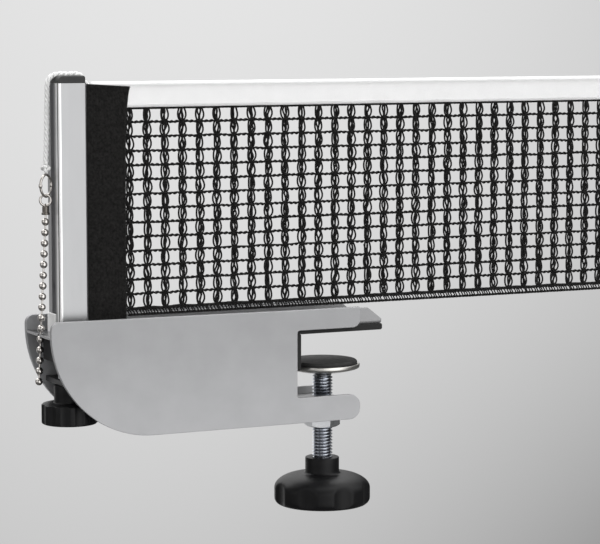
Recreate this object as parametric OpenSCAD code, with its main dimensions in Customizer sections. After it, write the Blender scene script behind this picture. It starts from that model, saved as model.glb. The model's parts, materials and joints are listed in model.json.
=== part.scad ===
// Table tennis net clamp with its post, height adjuster, tension chain and the first
// stretch of net.  Origin on the clamp screw's axis at the face that rests on the table
// top; +X runs along the net over the table, +Z is up.  Millimetres.

/* [Side plates] */
// Width of the clamp over both side plates
body_w = 46; // [42:1:60]
// Thickness of each side plate
plate_t = 3; // [2:0.5:3]
// Distance from the screw axis to the outer end of the side plates
plate_reach = 184.3; // [180:0.1:220]
// Height of the side plates above the table top
plate_rise = 15; // [14:0.5:20]
// Extra height of the side plates at their outer end
plate_flare = 1; // [0:0.1:2]
// Depth of the side plates below the table top
plate_drop = 53.6; // [50:0.1:70]
// Radius of the large lower corner at the outer end
toe_r = 63; // [30:1:63]
// Radius of the small plate corners
corner_r = 5; // [2:0.5:6]
// Radius of the lower jaw's two end corners
jaw_end_r = 7; // [2:0.5:7]
// Radius of the inner corners of the throat
throat_r = 1.6; // [0.5:0.1:3]

/* [Jaw] */
// Distance from the screw axis to the end of both plate jaws
jaw_reach = 14.5; // [12:0.5:24]
// Distance from the screw axis back to the throat
throat_back = 27.9; // [27.5:0.1:40]
// Clear height below the table top down to the lower jaw
jaw_open = 38.3; // [36:0.1:40]
// Height of the upper jaw's plate edges above the table top
plate_lip = 2.7; // [1:0.1:3.5]
// Thickness of the rubber pad under the upper jaw
top_pad_t = 3.9; // [3.5:0.1:6]
// Thickness of the rubber pad in the throat
edge_pad_t = 4; // [2:0.1:4]
// Height of the rubber pad in the throat
edge_pad_h = 22; // [10:1:30]
// Distance from the screw axis to the end of the upper jaw pad
pad_reach = 31; // [26:0.5:50]
// Height of the folded channel inside the upper jaw
channel_h = 10; // [6:0.5:10]
// Sheet thickness of the folded channel
channel_t = 2; // [1:0.1:3]
// Distance from the screw axis to the nose of the channel
channel_reach = 30.5; // [25:0.5:50]
// Length of the sloped nose on the channel's flanges
nose_run = 9.3; // [4:0.1:14]
// Height lost along the sloped nose
nose_drop = 7.2; // [3:0.1:7.5]
// Thickness of the upright plate behind the throat pad
throat_plate_t = 2; // [1.5:0.5:4]
// Depth of the nut plate's top face below the lower jaw's plate edges
nut_plate_sink = 4.7; // [2:0.1:6]
// Thickness of the plate that carries the nut
nut_plate_t = 5; // [3:0.5:6]
// Distance from the screw axis to the end of the nut plate
nut_plate_reach = 12; // [9:0.5:12]

/* [Clamp screw] */
// Outside diameter of the clamp screw
screw_d = 12.7; // [10:0.1:14]
// Size across the flats of the clamp nut
nut_flats = 19.05; // [18:0.05:24]
// Height of the clamp nut
nut_h = 12.3; // [8:0.1:14]
// Thickness of the table board that is clamped
board_t = 19; // [15:1:25]
// Diameter of the pressure disc
disc_d = 46; // [40:1:46]
// Thickness of the pressure disc's sheet
disc_t = 1.5; // [1:0.1:2]
// Depth of the dished pressure disc
dish_depth = 6.2; // [4.6:0.1:6.4]
// Height of the pressure disc's upright rim
rim_h = 2.6; // [1:0.1:3]
// Diameter of the rubber pad in the pressure disc
disc_pad_d = 43; // [36:1:43]
// Height of the rubber pad above the disc's rim
disc_pad_proud = 2.3; // [1.5:0.1:3]
// Diameter of the neck that joins the screw to the pressure disc
neck_d = 8; // [6:0.5:9]
// Diameter of the clamp knob
knob_d = 60.4; // [50:0.2:66]
// Height of the clamp knob's body
knob_h = 19; // [14:0.5:24]
// Diameter of the clamp knob's hub
knob_hub_d = 20.9; // [18:0.1:26]
// Height of the clamp knob's hub
knob_hub_h = 10.2; // [6:0.1:14]
// Clear screw length between the nut and the knob's hub
screw_free = 19.2; // [17:0.1:30]
// Number of finger hollows around the clamp knob
knob_lobes = 8; // [6:1:10]
// Depth of each finger hollow in the clamp knob
knob_scoop = 2; // [1:0.1:2.5]

/* [Post] */
// Width of the post along the net
post_w = 17.8; // [17.8:0.1:22]
// Depth of the post across the net
post_deep = 20; // [19:0.5:24]
// Distance from the side plates' outer end to the centre of the post
post_inset = 19.2; // [17:0.1:30]
// Distance of the post's top below the net's top edge
post_short = 0.5; // [0:0.1:3]
// Wall thickness of the post
post_wall = 1.5; // [1.2:0.1:1.5]
// Width of the groove in the post's outer side
groove_w = 7; // [4:0.1:8]
// Depth of the groove in the post's outer side
groove_deep = 2.2; // [1:0.1:2.2]
// Width of the net slot in the post's inner side
slot_w = 2.6; // [2.2:0.1:3]
// Radius of the round channel behind the net slot
slot_r = 3.1; // [3:0.05:3.1]
// Height of the cap above the post
cap_h = 4.4; // [3.5:0.1:6]
// Set-back of the cap from the post's faces
cap_inset = 0.8; // [0.4:0.1:1.5]
// Depth of the cap's plug inside the post
plug_h = 10; // [6:1:20]

/* [Height adjuster] */
// Diameter of the height spindle
spindle_d = 8; // [6:0.5:8]
// Height of the carriage that the spindle lifts
carriage_h = 16.1; // [14:0.1:18]
// Height of the plate that catches the chain above the upper jaw's pad
catch_rise = 1.7; // [0.2:0.1:2.5]
// Thickness of the plate under the post that catches the chain
catch_t = 1.5; // [1:0.1:2]
// Sliding gap between the carriage and each side plate
slide_gap = 0.4; // [0.3:0.05:0.8]
// Depth of the spindle bridge's top face below the table top
bridge_drop = 20.5; // [19:0.1:24]
// Thickness of the spindle bridge
bridge_t = 3; // [2:0.1:5]
// Length of the spindle bridge along the clamp
bridge_len = 22; // [16:1:26]
// Diameter of the height knob
height_knob_d = 33.4; // [26:0.2:36]
// Height of the height knob's body
height_knob_h = 12.4; // [8:0.1:16]
// Diameter of the height knob's hub
height_hub_d = 18.2; // [14:0.1:22]
// Height of the height knob's hub
height_hub_h = 10.4; // [6:0.1:16]
// Number of finger hollows around the height knob
height_lobes = 12; // [8:1:16]

/* [Net] */
// Distance from the screw axis to the end of this stretch of net
net_reach = 203; // [180:1:300]
// Height of the net's top edge above the table top
net_top = 152.6; // [150:0.1:156]
// Width of the white top tape
tape_w = 15.2; // [12:0.1:20]
// Thickness of the white top tape
tape_t = 2.2; // [1.6:0.1:2.4]
// Number of gaps from the bottom braid up to the tape
net_rows = 14; // [10:1:16]
// Number of gaps along this stretch of net
net_cols = 21; // [10:1:21]
// Width of each net strand
strand_w = 1.3; // [0.8:0.1:2]
// Thickness of the net
strand_t = 1; // [0.6:0.1:1.4]
// Height of the bottom braid's lower edge above the table top
braid_low = 14.1; // [14:0.1:18]
// Height of the bottom braid
braid_h = 5.2; // [3:0.1:7]
// Thickness of the bottom braid
braid_t = 2.4; // [1.6:0.1:2.6]
// Distance from the post to the inner edge of the side band
band_w = 28.4; // [20:0.1:36]
// Thickness of the side band over the net
band_t = 4; // [3:0.1:5]
// Diameter of the stiff rod in the side band
rod_d = 4; // [3:0.1:4]
// Width of the hem at the far end of this stretch of net
hem_w = 6; // [4:0.5:12]

/* [Cord and chain] */
// Diameter of the tension cord
cord_d = 3.2; // [2.4:0.1:3.4]
// Diameter of the chain's beads
bead_d = 4.5; // [4:0.1:5]
// Distance between the centres of two beads
bead_pitch = 6.2; // [5.6:0.1:6.4]
// Number of beads that hang free below the catch
beads_down = 4; // [2:1:8]
// Diameter of the wire between the beads
link_d = 1; // [0.8:0.1:1.2]
// Width of the slot that catches the chain
catch_slot_w = 3; // [2:0.1:3.4]
// Outside diameter of the ring at the head of the chain
ring_d = 7.7; // [7:0.1:9]
// Wire diameter of the ring at the head of the chain
ring_wire_d = 1.1; // [0.8:0.1:1.2]
// Outside width of the hook link on the cord
hook_w = 10.4; // [8:0.1:12]
// Outside height of the hook link on the cord
hook_h = 14.4; // [14:0.1:18]
// Wire diameter of the hook link on the cord
hook_wire_d = 1.3; // [1:0.1:1.5]

/* [Hidden] */
$fn = 64;

over = 1;           // how far a cutting shape runs past what it cuts
run_fit = 0.05;     // radial clearance of a turning shaft
cord_fit = 0.15;    // radial clearance of the cord in what it lies in
free_gap = 0.3;     // clearance between parts that move past each other

// Side plates and jaw
plate_in = body_w / 2 - plate_t;
throat_x = -throat_back;
toe_round = min(toe_r, plate_rise + plate_drop - corner_r);
jaw_end_round = min(jaw_end_r, (plate_drop - jaw_open) / 2);
channel_top = top_pad_t + channel_h;
pad_round = 1.2;
pad_seat = 0.4;
nut_plate_top = -jaw_open - nut_plate_sink;
nut_top = nut_plate_top - nut_plate_t;
nut_bottom = nut_top - nut_h;

// Clamp screw and pressure disc
disc_pad_top = -board_t;
rim_top = disc_pad_top - disc_pad_proud;
dish_low = rim_top - dish_depth;
dish_sag = dish_depth - rim_h;
dish_r = (pow(disc_d / 2, 2) + pow(dish_sag, 2)) / (2 * dish_sag);
hub_plate_t = disc_t + 0.9;
hub_plate_top = dish_low + hub_plate_t;
hub_plate_d = neck_d + 8;
head_t = 1.5;
head_d = neck_d + 4;
screw_top = dish_low - free_gap - 0.1;
screw_chamfer = 0.9;
knob_top = nut_bottom - screw_free;
knob_body_top = knob_top - knob_hub_h;
knob_bottom = knob_body_top - knob_h;
screw_end = knob_bottom + knob_h / 3;
knob_dome_h = 9;
knob_foot_r = 4;
knob_scoop_r = 16;

// Post and height adjuster
post_x = -plate_reach + post_inset;
post_top = net_top - post_short;
post_left = post_x - post_w / 2;
post_right = post_x + post_w / 2;
catch_low = top_pad_t + catch_rise;
post_low = catch_low + catch_t;
catch_left = -plate_reach + 0.2;
catch_right = post_right + 6.2;
channel_left = catch_right + 2;
post_corner_r = 1.6;
slot_x = post_w / 2 - slot_r - 0.9;
core_left = -post_w / 2 + groove_deep + post_wall;
core_right = slot_x - slot_r - 1.1;
core_half = post_deep / 2 - 4.8;
port_x = (core_left + core_right) / 2;
port_y = post_deep / 2 - 2.6;
foot_screw_d = 3.4;
foot_screw_bite = 14;
lock_slot = [2.4, 4.2];
lock_slot_z = post_low + 24.5;
wedge_t = 1;
wedge_rise = 11.4;
wedge_span = [-4, 9];
carriage_right = post_right + 4.2;
spindle_top = catch_low - 4.7;
bridge_top = -bridge_drop;
collar_h = 2.8;
height_hub_top = bridge_top - bridge_t - free_gap;
height_body_top = height_hub_top - height_hub_h;
height_bottom = height_body_top - height_knob_h;
height_scoop = 0.9;
height_edge_r = 1.2;
height_scoop_r = 7;

// Net
rod_x = post_x + slot_x;
tape_x = post_right + 5;
tape_low = net_top - tape_w;
band_right = post_right + band_w;
braid_top = braid_low + braid_h;
band_low = braid_low - 1.6;
band_top = net_top - 1.1;
band_fall = 1.9;
bulge_r = 1.7;
band_sleeve_t = 0.6;
net_pitch_x = (net_reach - band_right - strand_w) / net_cols;
net_pitch_z = (tape_low - braid_top) / net_rows;

// Cord and chain
cord_sides = 8;
cap_top = post_top + cap_h;
cord_sink = 1;
cord_z = cap_top + cord_d / 2 - cord_sink;
cord_half = cord_d / 2 + cord_fit;
cord_out_z = net_top - bulge_r;
cord_low_z = 105.5;
groove_in = [6, 4.35];
groove_out = [-5.6, 6.2];
knot_h = 5.2;
knot_d = 5.4;
hook_top = cord_low_z - knot_h;
hook_out = 13.2;
ring_out = 13.6;
hook_x = post_x - hook_out;
ring_x = post_x - ring_out;
ring_loop_r = (ring_d - ring_wire_d) / 2;
ring_z = hook_top - hook_h + hook_wire_d + 0.15 + ring_wire_d / 2 - ring_loop_r;
hook_turn = 25;
ring_turn = -20;
eye_wire_d = 0.8;
eye_r = ring_wire_d / 2 + eye_wire_d / 2 + 0.15;
eye_z = ring_z - ring_loop_r;
coupling_top = eye_z - eye_r;
coupling_h = 4;
coupling_d = 3.9;
coupling_rim_d = 4.8;
coupling_rim_h = 1.2;
coupling_low = coupling_top - coupling_h;
catch_x = catch_left + catch_slot_w / 2;
tail_lean = 3;
caught_z = catch_low - sqrt(pow(bead_d / 2, 2) - pow(catch_slot_w / 2, 2)) - run_fit;
beads_up = floor((coupling_low - 1 - bead_d / 2 - caught_z) / bead_pitch) + 1;

// Points along the tension cord, from the tape's end over the cap and down; X is taken
// from the post's centre
cord_route = [
    [13.9, 0, cord_out_z], [12.9, 0, cord_out_z], [11.9, 0, cord_out_z + 0.5],
    [11, 0, cord_out_z + 1.7], [10.2, 0, cord_out_z + 3.3], [9.2, 0, cord_z - 1.4],
    [7.8, 0, cord_z - 0.4], [6, 0, cord_z], [0, 0, cord_z], [-5.6, 0, cord_z],
    [-8, 0, cord_z - 0.5], [-10, 0, cord_z - 1.8], [-11.3, 0, cord_z - 3.8],
    [-11.8, 0, cord_z - 6.2], [-12, 0, 145], [-12.4, 0, 130], [-12.8, 0, 115],
    [-13.2, 0, 107], [-13.2, 0, cord_low_z]
];

// Outline drawn in X and Z, made solid from y0 to y1
module along_y(y0, y1)
    translate([0, y1, 0]) rotate([90, 0, 0]) linear_extrude(y1 - y0) children();

// Outline drawn in Y and Z, made solid from x0 to x1
module along_x(x0, x1)
    translate([x0, 0, 0]) rotate([90, 0, 90]) linear_extrude(x1 - x0) children();

// Upright round bar from z0 to z1
module bar(d, z0, z1) translate([0, 0, z0]) cylinder(d = d, h = z1 - z0);

// Box from one corner to the other
module block(low, high) translate(low) cube(high - low);

// What a quarter round leaves over at a corner; the metal lies towards (sx, sz)
module corner_waste(r, sx, sz)
    difference() {
        translate([sx > 0 ? -over : -r, sz > 0 ? -over : -r]) square(r + over);
        translate([sx * r, sz * r]) circle(r);
    }

// The same quarter round as a fillet that fills an inner corner
module corner_fill(r, sx, sz)
    difference() {
        translate([sx > 0 ? 0 : -r, sz > 0 ? 0 : -r]) square(r);
        translate([sx * r, sz * r]) circle(r);
    }

// Rectangle between two corners with four round corners
module round_rect(low, high, r)
    difference() {
        translate(low) square(high - low);
        translate(low) corner_waste(r, 1, 1);
        translate(high) corner_waste(r, -1, -1);
        translate([low[0], high[1]]) corner_waste(r, 1, -1);
        translate([high[0], low[1]]) corner_waste(r, -1, 1);
    }

// Clear space between the jaws, with filleted inner corners
module throat_outline()
    difference() {
        translate([throat_x, -jaw_open])
            square([throat_back + jaw_reach + over, jaw_open + plate_lip]);
        translate([throat_x, plate_lip]) corner_fill(throat_r, 1, -1);
        translate([throat_x, -jaw_open]) corner_fill(throat_r, 1, 1);
    }

// Side plate seen from the front
module plate_outline()
    difference() {
        polygon([
            [-plate_reach, -plate_drop], [jaw_reach, -plate_drop], [jaw_reach, plate_rise],
            [throat_x, plate_rise], [-plate_reach, plate_rise + plate_flare]
        ]);
        throat_outline();
        translate([-plate_reach, -plate_drop]) corner_waste(toe_round, 1, 1);
        translate([-plate_reach, plate_rise + plate_flare]) corner_waste(corner_r, 1, -1);
        translate([jaw_reach, plate_lip]) corner_waste(corner_r, -1, 1);
        translate([jaw_reach, -jaw_open]) corner_waste(jaw_end_round, -1, -1);
        translate([jaw_reach, -plate_drop]) corner_waste(jaw_end_round, -1, 1);
    }

module front_plate()
    color("silver") along_y(-body_w / 2, -plate_in) plate_outline();

module rear_plate()
    color("silver") along_y(plate_in, body_w / 2) plate_outline();

// Folded channel that joins the plates and backs the upper jaw pad
module jaw_channel()
    color("darkgray") difference() {
        along_x(channel_left, channel_reach) difference() {
            translate([-plate_in, top_pad_t]) square([2 * plate_in, channel_h]);
            translate([-plate_in + channel_t, top_pad_t + channel_t])
                square([2 * (plate_in - channel_t), channel_h]);
            translate([-plate_in, top_pad_t]) corner_waste(channel_t, 1, 1);
            translate([plate_in, top_pad_t]) corner_waste(channel_t, -1, 1);
        }
        along_y(-plate_in - over, plate_in + over) polygon([
            [channel_reach - nose_run, channel_top],
            [channel_reach, channel_top - nose_drop],
            [channel_reach + over, channel_top - nose_drop],
            [channel_reach + over, channel_top + over],
            [channel_reach - nose_run, channel_top + over]
        ]);
    }

// Upright plate behind the throat pad
module throat_plate()
    color("darkgray")
        block([throat_x - throat_plate_t, -plate_in, nut_top],
              [throat_x, plate_in, top_pad_t]);

// Plate across the lower jaw that carries the nut
module nut_plate()
    color("darkgray") difference() {
        block([throat_x, -plate_in, nut_top], [nut_plate_reach, plate_in, nut_plate_top]);
        bar(screw_d + 2 * free_gap, nut_top - over, nut_plate_top + over);
    }

// Rubber pad under the upper jaw, with a shallow seat over the throat pad's top
module top_pad()
    color([0.08, 0.08, 0.08]) along_y(-plate_in, plate_in) difference() {
        translate([throat_x, 0]) square([throat_back + pad_reach, top_pad_t]);
        translate([throat_x - over, -over]) square([edge_pad_t + over, over + pad_seat]);
        translate([pad_reach, 0]) corner_waste(pad_round, -1, 1);
        translate([pad_reach, top_pad_t]) corner_waste(pad_round, -1, -1);
    }

// Rubber pad in the throat, against the table's edge
module edge_pad()
    color([0.08, 0.08, 0.08]) along_y(-plate_in, plate_in) difference() {
        translate([throat_x, -edge_pad_h]) square([edge_pad_t, edge_pad_h + pad_seat]);
        translate([throat_x + edge_pad_t, -edge_pad_h]) corner_waste(pad_round, -1, 1);
        translate([throat_x + edge_pad_t, pad_seat]) corner_waste(pad_round, -1, -1);
    }

// Hexagon nut with turned corners, welded under the nut plate
module clamp_nut()
    color("gainsboro") difference() {
        intersection() {
            rotate(30) translate([0, 0, nut_bottom])
                cylinder(d = nut_flats / cos(30), h = nut_h, $fn = 6);
            rotate_extrude() polygon([
                [0, nut_bottom], [nut_flats / 2 - 0.3, nut_bottom],
                [nut_flats / 2 + 1.6, nut_bottom + 1.1], [nut_flats / 2 + 1.6, nut_top],
                [0, nut_top]
            ]);
        }
        bar(screw_d + 2 * run_fit, nut_bottom - over, nut_top + over);
    }

// Half section of the dished disc and its upright rim
module disc_section() {
    intersection() {
        translate([0, dish_low]) square([disc_d / 2, dish_depth]);
        translate([0, dish_low + dish_r]) difference() {
            circle(dish_r, $fn = 360);
            circle(dish_r - disc_t, $fn = 360);
        }
    }
    translate([disc_d / 2 - disc_t, rim_top - rim_h]) square([disc_t, rim_h]);
}

// Dished sheet disc with a flat seat for the screw's neck
module pressure_disc()
    color("silver") difference() {
        union() {
            rotate_extrude() disc_section();
            bar(hub_plate_d, dish_low + disc_t / 2, hub_plate_top);
        }
        bar(neck_d + 2 * run_fit, dish_low - over, hub_plate_top + over);
    }

// Rubber pad that fills the dish, hollow over the screw's head
module disc_pad()
    color([0.08, 0.08, 0.08]) difference() {
        rotate_extrude() intersection() {
            translate([0, dish_low + dish_r]) circle(dish_r - disc_t, $fn = 360);
            translate([0, dish_low]) square([disc_pad_d / 2, disc_pad_top - dish_low]);
        }
        bar(hub_plate_d + free_gap, dish_low - over, hub_plate_top + head_t + 3 * free_gap);
    }

// Threaded bar with a neck and a riveted head in the pressure disc
module clamp_screw()
    color("lightgray") rotate_extrude() polygon([
        [0, screw_end], [screw_d / 2, screw_end], [screw_d / 2, screw_top - screw_chamfer],
        [screw_d / 2 - screw_chamfer, screw_top], [neck_d / 2, screw_top],
        [neck_d / 2, hub_plate_top + free_gap], [head_d / 2, hub_plate_top + free_gap],
        [head_d / 2, hub_plate_top + head_t], [0, hub_plate_top + head_t]
    ]);

// Half section of a hand knob: hub, domed shoulder, upright side and rounded foot
function knob_section(hub_r, hub_z, side_r, body_z, low_z, dome_h, foot_r) = concat(
    [[0, hub_z], [hub_r - 0.6, hub_z], [hub_r, hub_z - 0.6], [hub_r, body_z + 0.6],
     [hub_r + 0.6, body_z]],
    [for (a = [15:15:90])
        [hub_r + 0.6 + (side_r - hub_r - 0.6) * sin(a), body_z - dome_h * (1 - cos(a))]],
    [for (a = [0:15:90])
        [side_r - foot_r * (1 - cos(a)), low_z + foot_r * (1 - sin(a))]],
    [[0, low_z]]
);

// Hand knob with finger hollows around its rim and a blind hole for its shaft
module hand_knob(section, side_r, lobes, scoop_r, scoop, low_z, hole_d, hole_z, top_z)
    difference() {
        rotate_extrude() polygon(section);
        for (i = [0:lobes - 1])
            rotate(360 / lobes * i) translate([side_r + scoop_r - scoop, 0, 0])
                bar(2 * scoop_r, low_z - over, top_z);
        bar(hole_d, hole_z, top_z + over);
    }

module clamp_knob()
    color([0.1, 0.1, 0.1]) hand_knob(
        knob_section(knob_hub_d / 2, knob_top, knob_d / 2, knob_body_top, knob_bottom,
                     knob_dome_h, knob_foot_r),
        knob_d / 2, knob_lobes, knob_scoop_r, knob_scoop, knob_bottom, screw_d, screw_end,
        knob_body_top);

// Section of the aluminium post, seen from above with its centre at the origin
module post_section()
    difference() {
        round_rect([-post_w / 2, -post_deep / 2], [post_w / 2, post_deep / 2], post_corner_r);
        translate([-post_w / 2 - over, -groove_w / 2])
            square([groove_deep + over, groove_w]);
        translate([core_left, -core_half]) square([core_right - core_left, 2 * core_half]);
        translate([slot_x, 0]) circle(slot_r);
        translate([slot_x, -slot_w / 2]) square([post_w / 2 - slot_x + over, slot_w]);
        for (s = [-1, 1]) translate([port_x, s * port_y]) circle(d = foot_screw_d);
    }

module post()
    color("gainsboro") difference() {
        translate([post_x, 0, post_low]) linear_extrude(post_top - post_low) post_section();
        translate([post_left - over, 0.2, lock_slot_z])
            cube([groove_deep + post_wall + 2 * over, lock_slot[0], lock_slot[1]]);
    }

// Moulded cap: plug inside the post, head with a groove for the cord
module post_cap()
    color([0.16, 0.16, 0.16]) difference() {
        union() {
            intersection() {
                along_y(-post_deep / 2, post_deep / 2) difference() {
                    translate([post_left + cap_inset, post_top])
                        square([post_w - 2 * cap_inset, cap_h]);
                    translate([post_left + cap_inset, cap_top]) corner_waste(3, 1, -1);
                    translate([post_right - cap_inset, cap_top]) corner_waste(1.5, -1, -1);
                }
                along_x(post_left, post_right) difference() {
                    translate([-post_deep / 2 + cap_inset, post_top])
                        square([post_deep - 2 * cap_inset, cap_h]);
                    translate([-post_deep / 2 + cap_inset, cap_top])
                        corner_waste(1.2, 1, -1);
                    translate([post_deep / 2 - cap_inset, cap_top])
                        corner_waste(1.2, -1, -1);
                }
            }
            translate([post_x, 0, 0])
                block([core_left, -core_half, post_top - plug_h],
                      [core_right, core_half, post_top]);
        }
        translate([post_x + groove_out[0], 0, cord_z]) rotate([0, 90, 0])
            cylinder(r = cord_half, h = groove_in[0] - groove_out[0]);
        cord_bend(groove_in, 0);
        cord_bend(groove_out, 90);
    }

// Rounded end of the cap's groove, where the cord turns down; bend is [place, radius]
module cord_bend(bend, from)
    translate([post_x + bend[0], 0, cord_z - bend[1]]) rotate([90, 0, 0]) rotate(from)
        rotate_extrude(angle = 90) translate([bend[1], 0]) circle(cord_half);

// Nylon key in the outer groove at the post's foot, with a flange over the post's side
module post_wedge()
    color("whitesmoke") {
        along_y(wedge_span[0], wedge_span[1]) difference() {
            translate([post_left - wedge_t, post_low]) square([wedge_t, wedge_rise]);
            translate([post_left - wedge_t, post_low + wedge_rise])
                corner_waste(wedge_t * 0.6, 1, -1);
        }
        block([post_left - wedge_t / 2, -groove_w / 2 + run_fit, post_low],
              [post_left + groove_deep - run_fit, groove_w / 2 - run_fit,
               post_low + wedge_rise - 1]);
    }

// Plate under the post, with the open slot that catches the chain
module chain_catch()
    color("darkgray") difference() {
        block([catch_left, -plate_in + slide_gap, catch_low],
              [catch_right, plate_in - slide_gap, post_low]);
        translate([catch_x, 0, 0]) bar(catch_slot_w, catch_low - over, post_low + over);
        translate([catch_left - over, -catch_slot_w / 2, catch_low - over])
            cube([catch_x - catch_left + over, catch_slot_w, catch_t + 2 * over]);
        foot_screw_holes();
    }

// Places of the two screws that hold the post to its carriage
module foot_screw_places()
    for (s = [-1, 1]) translate([post_x + port_x, s * port_y, 0]) children();

module foot_screw_holes()
    foot_screw_places()
        bar(foot_screw_d + 0.6, catch_low - carriage_h - over, post_low + over);

// Block that the spindle lifts; it slides between the side plates
module lift_carriage()
    color([0.12, 0.12, 0.12]) difference() {
        block([post_left, -plate_in + slide_gap, catch_low - carriage_h],
              [carriage_right, plate_in - slide_gap, catch_low]);
        translate([post_x, 0, 0])
            bar(spindle_d + 2 * run_fit, catch_low - carriage_h - over, catch_low + over);
        foot_screw_holes();
        foot_screw_places()
            bar(foot_screw_d + 2.8, catch_low - carriage_h - over, catch_low - carriage_h + 3);
    }

// Two long screws from the carriage up into the post's screw ports
module foot_screws()
    color("silver") foot_screw_places() {
        bar(foot_screw_d + 2.2, catch_low - carriage_h + 0.6, catch_low - carriage_h + 3);
        bar(foot_screw_d - 0.2, catch_low - carriage_h + 2, post_low + foot_screw_bite);
    }

// Plate between the side plates that the height spindle turns in
module spindle_bridge()
    color([0.12, 0.12, 0.12]) difference() {
        block([post_x - bridge_len / 3, -plate_in, bridge_top - bridge_t],
              [post_x + bridge_len * 2 / 3, plate_in, bridge_top]);
        translate([post_x, 0, 0])
            bar(spindle_d + 2 * run_fit, bridge_top - bridge_t - over, bridge_top + over);
    }

module height_spindle()
    color("lightgray") translate([post_x, 0, 0])
        bar(spindle_d, height_bottom + height_knob_h / 3, spindle_top);

// Ring pinned to the spindle above the bridge, so that the spindle stays in place
module spindle_collar()
    color("silver") translate([post_x, 0, 0]) difference() {
        bar(spindle_d + 5, bridge_top + free_gap, bridge_top + free_gap + collar_h);
        bar(spindle_d, bridge_top, bridge_top + free_gap + collar_h + over);
    }

module height_knob()
    color([0.1, 0.1, 0.1]) translate([post_x, 0, 0]) hand_knob(
        knob_section(height_hub_d / 2, height_hub_top, height_knob_d / 2, height_body_top,
                     height_bottom, height_edge_r, height_edge_r),
        height_knob_d / 2, height_lobes, height_scoop_r, height_scoop, height_bottom, spindle_d,
        height_bottom + height_knob_h / 3, height_body_top);

module band_rod()
    color("white") translate([rod_x, 0, 0]) bar(rod_d, post_low + 2, post_top - plug_h - 1);

// White tape folded over the cord along the net's top edge
module top_tape()
    color("white") along_x(tape_x, net_reach) union() {
        translate([0, net_top - bulge_r]) circle(bulge_r);
        translate([-tape_t / 2, tape_low]) square([tape_t, tape_w - bulge_r]);
    }

// Knotted net, drawn as a flat grid of strands
module net_mesh()
    color([0.06, 0.06, 0.06]) along_y(-strand_t / 2, strand_t / 2) difference() {
        translate([band_right - 1, braid_top]) square([net_reach - band_right + 1,
                                                       tape_low - braid_top]);
        for (i = [0:net_cols - 1], j = [0:net_rows - 1])
            translate([band_right + i * net_pitch_x + strand_w,
                       braid_top + j * net_pitch_z + strand_w / 2])
                square([net_pitch_x - strand_w, net_pitch_z - strand_w]);
    }

module bottom_braid()
    color([0.06, 0.06, 0.06]) along_x(band_right, net_reach)
        round_rect([-braid_t / 2, braid_low], [braid_t / 2, braid_top], 1);

// Black side band: cover over the net's end, tongue through the slot, sleeve on the rod
module side_band()
    color([0.06, 0.06, 0.06]) difference() {
        union() {
            along_y(-band_t / 2, band_t / 2) polygon([
                [post_right + 1.2, band_low], [band_right, band_low],
                [band_right, band_top - band_fall], [post_right + 1.2, band_top]
            ]);
            block([rod_x, -band_sleeve_t, post_low + 2],
                  [post_right + 1.2 + over, band_sleeve_t, post_top - plug_h - 1]);
            translate([rod_x, 0, 0])
                bar(rod_d + 2 * band_sleeve_t, post_low + 2, post_top - plug_h - 1);
        }
        translate([rod_x, 0, 0]) bar(rod_d, post_low, post_top);
        block([tape_x, -tape_t / 2, tape_low], [band_right + over, tape_t / 2, net_top]);
        along_x(tape_x, band_right + over)
            translate([0, net_top - bulge_r]) circle(bulge_r);
        block([band_right - 1, -strand_t / 2, braid_top],
              [band_right + over, strand_t / 2, tape_low + over]);
        block([post_right, -cord_half, cord_out_z - cord_half],
              [tape_x + over, cord_half, net_top]);
    }

// Bound edge that closes this stretch of net
module end_hem()
    color([0.06, 0.06, 0.06]) along_y(-band_t / 2, band_t / 2)
        translate([net_reach, band_low]) square([hem_w, net_top - band_low]);

// Unit vector, and one ring of a tube at point i of a route in the X-Z plane
function unit(v) = v / norm(v);
function heading(p, i) = unit(p[min(i + 1, len(p) - 1)] - p[max(i - 1, 0)]);
function ring_at(p, i, r, sides) =
    let (t = heading(p, i), side = [0, 1, 0], up = cross(t, side))
    [for (k = [0:sides - 1]) p[i] + r * (cos(360 * k / sides) * side
                                         + sin(360 * k / sides) * up)];

// Closed tube of the given radius swept along a route
module swept_tube(p, r, sides) {
    points = [for (i = [0:len(p) - 1]) each ring_at(p, i, r, sides)];
    last = (len(p) - 1) * sides;
    walls = [for (i = [0:len(p) - 2], k = [0:sides - 1])
        let (a = i * sides + k, b = i * sides + (k + 1) % sides)
        each [[a, b, b + sides], [a, b + sides, a + sides]]];
    caps = [for (k = [1:sides - 2]) each [[0, k + 1, k], [last, last + k, last + k + 1]]];
    polyhedron(points = points, faces = concat(walls, caps));
}

module tension_cord()
    color("white") translate([post_x, 0, 0])
        swept_tube(cord_route, cord_d / 2, cord_sides);

module cord_knot()
    color("white") translate([hook_x, 0, hook_top]) rotate_extrude() polygon([
        [0, 0], [knot_d / 3, 0], [knot_d / 2, knot_h / 3], [knot_d / 2, knot_h * 0.6],
        [knot_d / 3, knot_h], [0, knot_h]
    ]);

// Wire loop with straight sides, standing in the X-Z plane about its own centre
module wire_loop(w, h, wire_d) {
    bend_r = (w - wire_d) / 2;
    straight = h - w;
    for (s = [-1, 1]) {
        translate([s * bend_r, 0, 0]) bar(wire_d, -straight / 2, straight / 2);
        translate([0, 0, s * straight / 2]) rotate([90, 0, 0]) rotate(s > 0 ? 0 : 180)
            rotate_extrude(angle = 180) translate([bend_r, 0]) circle(d = wire_d, $fn = 24);
    }
}

module cord_hook()
    color("silver") translate([hook_x, 0, hook_top - hook_h / 2]) rotate(hook_turn)
        wire_loop(hook_w, hook_h, hook_wire_d);

module chain_ring()
    color("silver") translate([ring_x, 0, ring_z]) rotate([90, 0, ring_turn])
        rotate_extrude() translate([ring_loop_r, 0]) circle(d = ring_wire_d, $fn = 24);

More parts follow.
